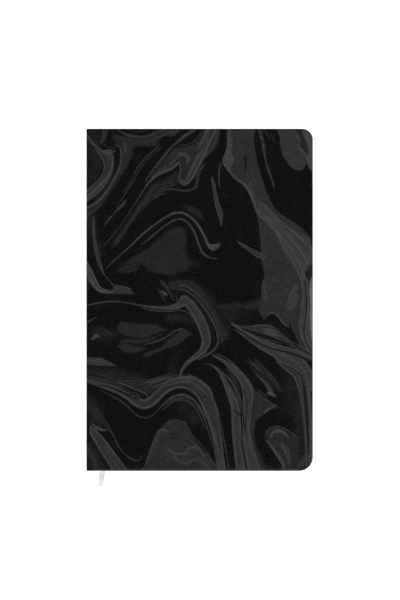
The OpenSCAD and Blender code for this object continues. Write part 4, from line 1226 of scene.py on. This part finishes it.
def paint_pools(place, layer):
    """Depth in the nearest pool as a share of its soft edge, and its tone."""
    share, tone = np.full(len(place), -DEEPEST), np.full(len(place), NO_TONE)
    for ink, soft, ring in layer:
        near = within(place, ring, MARGIN)
        if len(near) == 0:
            continue
        depth = np.clip(pool_depth(place[near], ring) / soft, -DEEPEST, DEEPEST)
        better = depth > share[near]
        at = near[better]
        share[at], tone[at] = depth[better], ink
    return share, tone

# %% Storing what was painted
def store(piece, name, *numbers):
    layer = piece.data.attributes.new(name=name, type="FLOAT_VECTOR", domain="POINT")
    layer.data.foreach_set("vector", np.stack(numbers, 1).astype(np.float32).ravel())


def paint(piece, place):
    """Store the whole print on the vertices of a piece."""
    for k, layer in enumerate(POOL_LAYERS):
        share, tone = paint_pools(place, layer)
        store(piece, f"pool_{k}", share, tone, tone)
    runs = []
    for k, layer in enumerate(TONGUE_LAYERS):
        away, width, tone, run = paint_strokes(place, layer)
        store(piece, f"tongue_{k}", away, width, tone)
        runs.append(run)
    store(piece, "tongue_runs", *runs)
    for k, layer in enumerate(HAIRLINE_LAYERS):
        away, width, tone, _ = paint_strokes(place, layer)
        store(piece, f"hairline_{k}", away, width, tone)
    shades = paint_shades(place)
    store(piece, "shades", shades, shades, shades)

# %% Painting the case
paint(front_sheet, place_on_cover(get_points(front_sheet), COVER_TOP, -1))
paint(back_sheet, place_on_cover(get_points(back_sheet), 0.0, 1))
spine_place = place_on_spine(get_points(spine))
on_front = spine_place[:, 0] > SHEET_MIDDLE_X
paint(spine, np.where(on_front[:, None], spine_place, turned_half(spine_place)))
print("painted:", front_sheet.name, back_sheet.name, spine.name)

# %% [markdown]
# Sums in a shader are Math nodes, and a long row of them is hard to read. The class below wraps an
# output socket so that plus, minus, times and divide add those nodes. Colours don't go through it,
# because a Math node would turn them grey: they are mixed by a Mix node.

# %% Shader arithmetic
def sum_node(operation, swapped=False):
    """A method that adds the Math node of an operation."""
    def method(self, *others):
        values = (*others, self) if swapped else (self, *others)
        return self.finish.add("ShaderNodeMath", {"operation": operation}, *values)
    return method


class Signal:
    """An output socket that takes part in Python's arithmetic."""
    __add__ = __radd__ = sum_node("ADD")
    __mul__ = __rmul__ = sum_node("MULTIPLY")
    __sub__ = sum_node("SUBTRACT")
    __rsub__ = sum_node("SUBTRACT", swapped=True)
    __truediv__ = sum_node("DIVIDE")
    __rtruediv__ = sum_node("DIVIDE", swapped=True)
    __pow__ = sum_node("POWER")
    __abs__ = sum_node("ABSOLUTE")
    least = sum_node("MINIMUM")
    most = sum_node("MAXIMUM")
    sine = sum_node("SINE")
    whole = sum_node("FLOOR")
    there_and_back = sum_node("PINGPONG")

    def __init__(self, finish, socket):
        self.finish = finish
        self.socket = socket

    def step(self, low, high):
        """0 at low, 1 at high and smooth between them."""
        settings = {"interpolation_type": "SMOOTHSTEP", "clamp": True}
        return self.finish.add("ShaderNodeMapRange", settings, self, low, high, 0, 1)

    def toward(self, other, share):
        """A mix of two values."""
        return self + (other - self) * share

# %% A finish and its nodes
class Finish:
    """A material with one Principled BSDF, whose constants are set on its own sockets."""

    def __init__(self, name, **constants):
        self.material = bpy.data.materials.new(name)
        self.material.use_nodes = True
        self.tree = self.material.node_tree
        self.tree.nodes.clear()
        output = self.tree.nodes.new("ShaderNodeOutputMaterial")
        self.shader = self.tree.nodes.new("ShaderNodeBsdfPrincipled")
        self.tree.links.new(self.shader.outputs[0], output.inputs["Surface"])
        for socket, value in constants.items():
            self.shader.inputs[socket.replace("_", " ")].default_value = value

    def feed(self, socket, value):
        if isinstance(value, Signal):
            self.tree.links.new(value.socket, socket)
        else:
            socket.default_value = value

    def add(self, kind, settings, *values, out=0, **named):
        node = self.tree.nodes.new(kind)
        for key, value in settings.items():
            setattr(node, key, value)
        for socket, value in zip(node.inputs, values):
            if value is not None:
                self.feed(socket, value)
        for name, value in named.items():
            self.feed(node.inputs[name.replace("_", " ")], value)
        return Signal(self, node.outputs[out])

    def place(self):
        """Place on the object, in metres."""
        return self.add("ShaderNodeTexCoord", {}, out="Object")

    def scaled(self, vector, *scale):
        return self.add("ShaderNodeMapping", {"vector_type": "POINT"}, vector, Scale=scale)

    def attribute(self, name):
        """The three numbers of a vector attribute."""
        vector = self.add("ShaderNodeAttribute", {"attribute_name": name}, out="Vector")
        return self.parts(vector)

    def parts(self, vector):
        node = self.add("ShaderNodeSeparateXYZ", {}, vector).socket.node
        return [Signal(self, output) for output in node.outputs]

    def joined(self, x, y, z):
        return self.add("ShaderNodeCombineXYZ", {}, x, y, z)

    def noise(self, vector, scale, detail, roughness=0.5):
        return self.add("ShaderNodeTexNoise", {}, Vector=vector, Scale=scale, Detail=detail,
                        Roughness=roughness)

    def mixed(self, share, first, second):
        """A mix of two colours; the node keeps its sockets for colours at 6 and 7, and 2 outside."""
        node = self.add("ShaderNodeMix", {"data_type": "RGBA"}).socket.node
        for at, value in ((0, share), (6, first), (7, second)):
            self.feed(node.inputs[at], value)
        return Signal(self, node.outputs[2])

    def tones(self, share, dark, pale, tint):
        """A mix of two screen tones with one tint."""
        return self.mixed(share, grey(dark, tint), grey(pale, tint))

    def colour(self, value):
        self.feed(self.shader.inputs["Base Color"], value)

    def rough(self, value):
        self.feed(self.shader.inputs["Roughness"], value)

    def bump(self, height, distance, strength):
        normal = self.add("ShaderNodeBump", {}, Strength=strength, Distance=distance, Height=height)
        self.feed(self.shader.inputs["Normal"], normal)

    def onto(self, *pieces):
        for piece in pieces:
            piece.data.materials.clear()
            piece.data.materials.append(self.material)
        print(f"{self.material.name}: {len(self.tree.nodes)} nodes, on", *[piece.name for piece in pieces])

# %% Tones and nodes
def linear(tone):
    """Linear light of a screen tone from 0 to 255, given as a number or as a signal."""
    return ((tone / 255 + 0.055) / 1.055) ** 2.4


def grey(tone, tint):
    """Linear colour of a screen tone with a tint."""
    return (*[linear(tone) * share for share in tint], 1)


def nodes(*names):
    return [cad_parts[name] for name in names]

# %% [markdown]
# The print is black and grey ink on a coated sheet with a soft, nearly matt film. The shader reads
# the painted distances layer by layer. Fine streaks run along each tongue, because a noise that is
# stretched along the stroke varies only across it, and a lighter rim marks its edge. The film
# scatters a little more over the black ink than over the grey.

# %% The marbled sheet
# Light that the film itself throws back, which the ink's own colour leaves out
FILM_GLOSS = 0.0034
FILM_GAIN = 1.12
# How much lighter streaks, rims and specks make a tone, and the darkest tone
STREAKS = 58
RIM = 18
SPECKS = 30
DARKEST = 8


def marbled_sheet():
    finish = Finish("marbled_sheet", Specular_IOR_Level=0.05)
    place = finish.place()
    tone, _, _ = finish.attribute("shades")
    wander = (finish.noise(place, 260, 3) - 0.5) * 0.9
    ragged = finish.noise(place, 700, 4, 0.65) - 0.5
    fine = finish.noise(place, 1250, 2, 0.7) - 0.5
    mottle = finish.noise(place, 420, 4, 0.65) - 0.5
    cloud = finish.noise(place, 90, 3) - 0.5
    tone = tone + (mottle * 12 + cloud * 10) * tone.step(18, 30) + cloud * 5
    # Pools, with a ragged outline
    for k in range(len(POOL_LAYERS)):
        share, ink, _ = finish.attribute(f"pool_{k}")
        inside = (share + wander * 0.8 + ragged * 2.2).step(-1, 1)
        tone = tone.toward(ink - 1 + mottle * 13 + cloud * 9 + ragged * 6, inside)
    # Tongues, with streaks along them and a lighter rim
    for k, run in enumerate(finish.attribute("tongue_runs")):
        away, width, ink = finish.attribute(f"tongue_{k}")
        depth = width - abs(away) + wander * 0.3 + ragged * 0.25
        along = finish.joined(away * 1.9 + wander, run * 0.05, 3.7 * k)
        streaks = finish.noise(along, 0.85, 4, 0.75) - 0.5
        rim = (1 - (abs(depth - 0.3) / 0.45).least(1)) * width.step(0.9, 1.6)
        rim = rim * (0.55 + cloud * 2.4).most(0)
        body = ink + 5 - depth.step(0.8, 2.2) * 7 + streaks * STREAKS + rim * RIM + mottle * 8
        tone = tone.toward(body, depth.step(-0.2, 0.2))
    # Hairlines, stronger and weaker along their way
    for k in range(len(HAIRLINE_LAYERS)):
        away, width, ink = finish.attribute(f"hairline_{k}")
        depth = width * 0.85 - abs(away + wander * 0.22) + ragged * 0.3
        strength = (0.82 + mottle * 1.1 + cloud * 0.9).least(0.95)
        tone = tone.toward(ink + 4 + mottle * 10, depth.step(-0.28, 0.22) * strength)
    # Grain and specks of the film over all
    speck = finish.noise(place, 2000, 0).step(0.73, 0.8)
    grain = (fine + 0.05).most(-0.1) * 30 + (ragged - 0.04).most(0) * 22
    tone = (tone + grain + speck * SPECKS).most(DARKEST)
    light = ((linear(tone) - FILM_GLOSS) * FILM_GAIN).most(0.0006)
    finish.colour(finish.mixed(light, (0, 0, 0, 1), (1, 1, 1, 1)))
    finish.rough(0.62 - tone.step(20, 50) * 0.12 + fine * 0.08)
    finish.bump(fine * 0.6 + mottle * 0.4, 0.02 * MM, 0.6)
    return finish


marbled_sheet().onto(front_sheet, back_sheet, spine)

# %% [markdown]
# Ninety-six leaves, sewn in twelve sections and trimmed together, show as fine lines on three sides
# and as round folds at the spine. One leaf is modelled: a plane with its two outer corners bevelled
# round and its face extruded to the thickness of paper. The copies are laid on each other, each a
# few hundredths of a millimetre out of line, as a trimmed block has them.

# %% One leaf
SECTIONS = 12
SECTION_LEAVES = 8
BLOCK_LOW, BLOCK_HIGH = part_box("page_block")
LEAF_STEP = (BLOCK_HIGH.z - BLOCK_LOW.z) / (SECTIONS * SECTION_LEAVES)
LEAF_T = LEAF_STEP * 0.9
PAGE_CORNER_R = 6 * MM
FOLD_R = SECTION_LEAVES * LEAF_STEP / 2
LEAF_LEFT = BLOCK_LOW.x + FOLD_R
# Millimetres that a section and a leaf lie out of line at most
SECTION_SLIP = 0.04
LEAF_SLIP = 0.03


def one_leaf():
    width, height = BLOCK_HIGH.x - LEAF_LEFT, BLOCK_HIGH.y - BLOCK_LOW.y
    bpy.ops.mesh.primitive_plane_add(size=1, location=(LEAF_LEFT + width / 2, 0, 0))
    bpy.context.object.scale = (width, height, 1)
    leaf = started("leaf")
    edit(leaf)
    pick(leaf, "VERT", lambda c: c.x > 0)
    bpy.ops.mesh.bevel(offset=PAGE_CORNER_R, segments=7, affect="VERTICES")
    bpy.ops.mesh.select_all(action="SELECT")
    bpy.ops.mesh.extrude_region_move(TRANSFORM_OT_translate={"value": (0, 0, LEAF_T)})
    finish_edit()
    outward(leaf)
    return leaf

# %% The block of leaves
def duplicate(piece):
    twin = piece.copy()
    twin.data = piece.data.copy()
    bpy.context.collection.objects.link(twin)
    return twin


def leaf_block():
    chance = random.Random(11)
    first = one_leaf()
    parts = []
    for section in range(SECTIONS):
        drift = chance.uniform(-SECTION_SLIP, SECTION_SLIP) * MM
        for k in range(SECTION_LEAVES):
            leaf = duplicate(first)
            shift = Vector((drift + chance.uniform(-LEAF_SLIP, 0) * MM,
                            chance.uniform(-LEAF_SLIP, LEAF_SLIP) * MM,
                            BLOCK_LOW.z + (section * SECTION_LEAVES + k) * LEAF_STEP))
            if section == SECTIONS - 1 and k == SECTION_LEAVES - 1:
                shift.z = BLOCK_HIGH.z - LEAF_T
            leaf.data.transform(Matrix.Translation(shift))
            parts.append(leaf)
        bpy.ops.mesh.primitive_cylinder_add(
            vertices=20, radius=FOLD_R * 0.98, depth=BLOCK_HIGH.y - BLOCK_LOW.y - 0.2 * MM,
            location=(LEAF_LEFT, 0, BLOCK_LOW.z + (section + 0.5) * SECTION_LEAVES * LEAF_STEP),
            rotation=(math.pi / 2, 0, 0))
        parts.append(started("fold"))
    bpy.data.objects.remove(first)
    return join("leaves", *parts)


leaves = leaf_block()
smooth(leaves, 35)
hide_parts("page_block")
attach(leaves, "block")
report(leaves)

# %% [markdown]
# Each endpaper is pasted to its board and to the back of the first section, so a curved strip of it
# shows in the joint when the cover lies open. Closed, the strip is folded flat between the leaves
# and the cover. It is a narrow grid laid along that fold, and it bends between block and cover.

# %% The endpapers' joints
JOINT_T = 0.08 * MM
JOINT_STEP = 0.12
# X in mm, and share of the rise from the block to the cover
JOINT_PATH = [
    (-63, 0), (-66.4, 0), (-67.2, 0.15), (-67.42, 0.5), (-67.2, 0.85), (-66.6, 1), (-65.2, 1)]


def endpaper_joint(name, z_block, z_cover):
    """A strip from the block's face, round the fold, to the inside of the cover."""
    rise = z_cover - z_block
    path = [(x, (z_block + share * rise) / MM) for x, share in JOINT_PATH]
    line = curve_through(path, JOINT_STEP) * MM
    rows = len(line)
    height = BLOCK_HIGH.y - BLOCK_LOW.y - 1 * MM
    bpy.ops.mesh.primitive_grid_add(x_subdivisions=rows - 1, y_subdivisions=40, size=1)
    strip = started(name)
    points = get_points(strip)
    row = np.rint((points[:, 0] + 0.5) * (rows - 1)).astype(int)
    set_points(strip, np.stack([line[row, 0], points[:, 1] * height, line[row, 1]], 1))
    apply_modifier(strip, "SOLIDIFY", thickness=JOINT_T, offset=0)
    outward(strip)
    smooth(strip, 60)
    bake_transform(strip)
    report(strip)
    return strip


front_joint = endpaper_joint("front_joint", PAGE_TOP + 0.06 * MM,
                             COVER_TOP - COVER_T - 0.05 * MM)
back_joint = endpaper_joint("back_joint", BLOCK_LOW.z - 0.06 * MM,
                            COVER_T + 0.05 * MM)

# %% [markdown]
# A head band hides the ends of the folds. It is a cord wound with thread in two colours, and its
# cloth is glued down on the spine. One turn of thread is a small torus, and it is copied up the
# thickness of the block. The cord inside is a cylinder.

# %% The bands
BEAD_D = 1.6 * MM
THREAD_R = 0.17 * MM
TURNS = 28
CLOTH_W = 9.2 * MM
CLOTH_IN = 5.2 * MM


def band(name, node, side):
    low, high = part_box(node)
    tall, middle = high.z - low.z, (low.z + high.z) / 2
    x = low.x + BEAD_D / 2
    y = side * (max(abs(low.y), abs(high.y)) - BEAD_D / 2)
    bpy.ops.mesh.primitive_cylinder_add(
        vertices=24, radius=BEAD_D / 2 - THREAD_R, depth=tall, location=(x, y, middle))
    core = started("core")
    apply_modifier(core, "BEVEL", width=0.15 * MM, segments=3, limit_method="ANGLE")
    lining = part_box("spine_lining")
    bpy.ops.mesh.primitive_cube_add(size=1, location=(
        (lining[0].x + lining[1].x) / 2, side * (abs(y) - CLOTH_IN), middle))
    bpy.context.object.scale = (lining[1].x - lining[0].x, CLOTH_W, tall)
    cloth = started("cloth")
    apply_modifier(cloth, "BEVEL", width=0.05 * MM, segments=2)
    turns = []
    pitch = (tall - 2 * THREAD_R) / (TURNS - 1)
    for k in range(TURNS):
        bpy.ops.mesh.primitive_torus_add(
            major_segments=20, minor_segments=8, major_radius=BEAD_D / 2 - THREAD_R,
            minor_radius=THREAD_R * 0.98, location=(x, y, low.z + THREAD_R + k * pitch))
        turn = started("turn")
        turn.data.materials.append(BAND_THREADS[k // 2 % 2])
        turns.append(turn)
    for part in (core, cloth):
        part.data.materials.append(BAND_THREADS[0])
    piece = join(name, core, cloth, *turns)
    smooth(piece, 50)
    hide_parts(node)
    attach(piece, "block")
    report(piece)

# %% [markdown]
# Cotton thread, woven satin, book cloth and the ruled paper repeat at their real pitch. Threads that
# run on in one direction are sine waves of the object's coordinates. The ribbon's weave reads its
# own map instead, because it has to follow the tape round its bends.

# %% Threads of the bands
def thread(name, tone, tint):
    finish = Finish(name, Specular_IOR_Level=0.25, Sheen_Weight=0.2, Sheen_Roughness=0.5)
    place = finish.place()
    x, y, z = finish.parts(place)
    fibres = finish.noise(finish.scaled(place, 1, 1, 6), 3000, 3)
    twist = 0.5 + ((x + y * 0.6 + z * 0.5) * 22000).sine() * 0.5
    shade = fibres * 0.5 + twist * 0.5
    finish.colour(finish.tones(shade, tone * 0.8, tone, tint))
    finish.rough(0.75 - fibres * 0.15)
    finish.bump(shade, 0.03 * MM, 0.8)
    return finish.material


BAND_THREADS = [thread("band_thread_pale", 228, (1, 0.99, 0.96)),
                thread("band_thread_dark", 48, (1, 1, 1.04))]
band("head_band_threads", "head_band", 1)
band("tail_band_threads", "tail_band", -1)

# %% The ribbon's satin
def satin():
    finish = Finish("ribbon_satin", Specular_IOR_Level=0.35, Sheen_Weight=0.15, Sheen_Roughness=0.4)
    u, v, _ = finish.parts(finish.add("ShaderNodeUVMap", {"uv_map": "weave"}))
    wave = (u * 38).sine()
    warp = 0.5 + wave * 0.5
    weft = 0.5 + (v * 24 + wave * 1.5).sine() * 0.5
    edge = abs(u).step(1.45, 1.7)
    cloud = finish.noise(finish.joined(u * 1.4, v * 0.3, 0), 1, 3)
    threads = warp * 0.65 + weft * 0.35
    light = threads * 0.35 + cloud * 0.35 + 0.35 - edge * 0.25
    finish.colour(finish.tones(light, 244, 255, (0.995, 1, 1)))
    finish.rough(0.42 + threads * 0.15 + edge * 0.1)
    finish.bump(threads + edge * 1.4, 0.03 * MM, 0.7)
    return finish


satin().onto(ribbon)

# %% Ruled paper and the edges of the leaves
RULE_STEP = 7 * MM
RULE_W = 0.22 * MM
FIRST_RULE = 14 * MM
LAST_RULE = 8 * MM
MARGIN_X = -48 * MM


def ruled_paper():
    finish = Finish("ruled_paper", Specular_IOR_Level=0.2)
    place = finish.place()
    x, y, _ = finish.parts(place)
    fibre = finish.noise(place, 900, 5, 0.65)
    cloud = finish.noise(place, 60, 2)
    from_head = BLOCK_HIGH.y - FIRST_RULE - y + RULE_STEP / 2
    phase = from_head.there_and_back(RULE_STEP / 2)
    on_line = 1 - (RULE_STEP / 2 - phase).step(RULE_W * 0.3, RULE_W * 0.7)
    under_head = (BLOCK_HIGH.y - y).step(FIRST_RULE - MM, FIRST_RULE - 0.9 * MM)
    above_tail = (y - BLOCK_LOW.y).step(LAST_RULE, LAST_RULE + 0.1 * MM)
    margin = 1 - abs(x - MARGIN_X).step(RULE_W * 0.3, RULE_W * 0.7)
    ink = (on_line * under_head * above_tail).most(margin * 0.9)
    paper = finish.tones(fibre * 0.6 + cloud * 0.4, 243, 251, (0.985, 0.99, 1))
    finish.colour(finish.mixed(ink * (0.75 + fibre * 0.4), paper, grey(178, (0.94, 0.96, 1.08))))
    finish.rough(0.78 + fibre * 0.1)
    finish.bump(fibre, 0.02 * MM, 0.5)
    return finish


def leaf_edges():
    finish = Finish("leaf_edges", Specular_IOR_Level=0.15)
    place = finish.place()
    x, y, z = finish.parts(place)
    leaf = (z - BLOCK_LOW.z) / LEAF_STEP
    varied = finish.noise(finish.joined(x * 40, y * 40, leaf * 3.1), 1, 3)
    section = leaf / SECTION_LEAVES + 0.5
    # Painted shade: the edges of the leaves are darker along the line where two sections meet
    section_shade = 1 - abs(section - section.whole() - 0.5).step(0.03, 0.14)
    shade = varied.step(0.3, 0.7) * 0.7 + 0.3 - section_shade * 0.75
    finish.colour(finish.mixed(shade, grey(184, (1, 0.995, 0.98)), grey(246, (1, 0.998, 0.99))))
    finish.rough(0.82 + varied * 0.1)
    finish.bump(finish.noise(finish.scaled(place, 1, 1, 30), 900, 2), 0.03 * MM, 0.5)
    return finish


ruled_paper().onto(leaves)
leaves.data.materials.append(leaf_edges().material)
for face in leaves.data.polygons:
    face.material_index = 0 if abs(face.normal.z) > 0.9 else 1

# %% Endpapers: plain wove paper
def wove_paper():
    finish = Finish("wove_paper", Specular_IOR_Level=0.2)
    place = finish.place()
    fibre = finish.noise(place, 1100, 5, 0.65)
    cloud = finish.noise(place, 90, 3)
    fleck = finish.noise(place, 2600, 1).step(0.7, 0.78)
    dark, pale = grey(238, (1, 0.995, 0.98)), grey(250, (1, 0.998, 0.99))
    pulp = finish.mixed(fibre * 0.5 + cloud * 0.5, dark, pale)
    finish.colour(finish.mixed(fleck * 0.3, pulp, grey(205, (1, 0.97, 0.93))))
    finish.rough(0.8 + fibre * 0.1)
    finish.bump(fibre + cloud * 0.3, 0.025 * MM, 0.6)
    return finish


wove_paper().onto(*nodes("front_endpaper", "back_endpaper"), front_joint, back_joint)

# %% Lining cloth: an open plain weave in glue
THREAD_TURN = 2 * math.pi / (0.8 * MM)


def lining_cloth():
    finish = Finish("lining_cloth", Specular_IOR_Level=0.2)
    place = finish.place()
    x, y, z = finish.parts(place)
    across = 0.5 + ((x + z) * THREAD_TURN).sine() * 0.5
    down = 0.5 + (y * THREAD_TURN).sine() * 0.5
    threads = across.step(0.45, 0.75).most(down.step(0.45, 0.75))
    fuzz = finish.noise(place, 2500, 3)
    glue, cotton = grey(196, (1, 0.97, 0.9)), grey(236, (1, 0.985, 0.95))
    finish.colour(finish.mixed(threads * 0.8 + fuzz * 0.2, glue, cotton))
    finish.rough(0.8 + fuzz * 0.1)
    finish.bump(threads + fuzz * 0.3, 0.08 * MM, 0.8)
    return finish


lining_cloth().onto(*nodes("spine_lining", "front_hinge_cloth", "back_hinge_cloth"))

# %% Grey board: pressed waste paper with specks
def grey_board():
    finish = Finish("grey_board", Specular_IOR_Level=0.2)
    place = finish.place()
    pulp = finish.noise(place, 500, 6, 0.7)
    layer = finish.noise(finish.scaled(place, 1, 1, 20), 160, 3)
    speck = finish.noise(place, 1500, 1).step(0.66, 0.74)
    board = finish.tones(pulp * 0.6 + layer * 0.4, 128, 176, (1, 0.98, 0.94))
    finish.colour(finish.mixed(speck * 0.6, board, grey(86, (1, 0.98, 0.95))))
    finish.rough(0.85 + pulp * 0.1)
    finish.bump(pulp, 0.06 * MM, 0.7)
    return finish


grey_board().onto(*nodes("front_board", "back_board", "spine_card"))

# %% [markdown]
# The picture is a cut-out on white. The floor is plain white and lit past white, so that no
# shadow shows on it from above. The lamps stand low at the sides: a camera that looks straight down
# on a dark film would otherwise see them mirrored in it, and the black would turn grey.

# %% The floor
FLOOR_GLOW = 0.6


def floor():
    bpy.ops.mesh.primitive_plane_add(size=14, location=(0, 0, -0.02 * MM))
    sheet = started("floor")
    finish = Finish("floor_white", Specular_IOR_Level=0.0, Roughness=1.0, Emission_Strength=FLOOR_GLOW)
    finish.colour((0.9, 0.9, 0.9, 1))
    finish.feed(finish.shader.inputs["Emission Color"], (1, 1, 1, 1))
    finish.onto(sheet)


floor()

# %% The lamps and the light of the room
def lamp(name, place, size, power):
    data = bpy.data.lights.new(name, "AREA")
    data.shape = "RECTANGLE"
    data.size, data.size_y = size
    data.energy = power
    light = bpy.data.objects.new(name, data)
    bpy.context.collection.objects.link(light)
    light.location = place
    light.rotation_euler = (-Vector(place)).to_track_quat("-Z", "Y").to_euler()
    print(f"{name}: {power} W, {size[0]} x {size[1]} m")


lamp("window_left", (-0.95, 0.55, 0.75), (0.7, 0.9), 6)
lamp("window_right", (1.0, 0.2, 0.7), (0.7, 0.9), 4.5)
lamp("window_front", (0.1, -1.1, 0.8), (0.9, 0.6), 4)
world = bpy.data.worlds.new("studio")
world.use_nodes = True
room_light = world.node_tree.nodes["Background"].inputs
room_light["Color"].default_value = (1, 1, 1, 1)
room_light["Strength"].default_value = 0.55
bpy.context.scene.world = world
bpy.context.scene.view_settings.view_transform = "Standard"
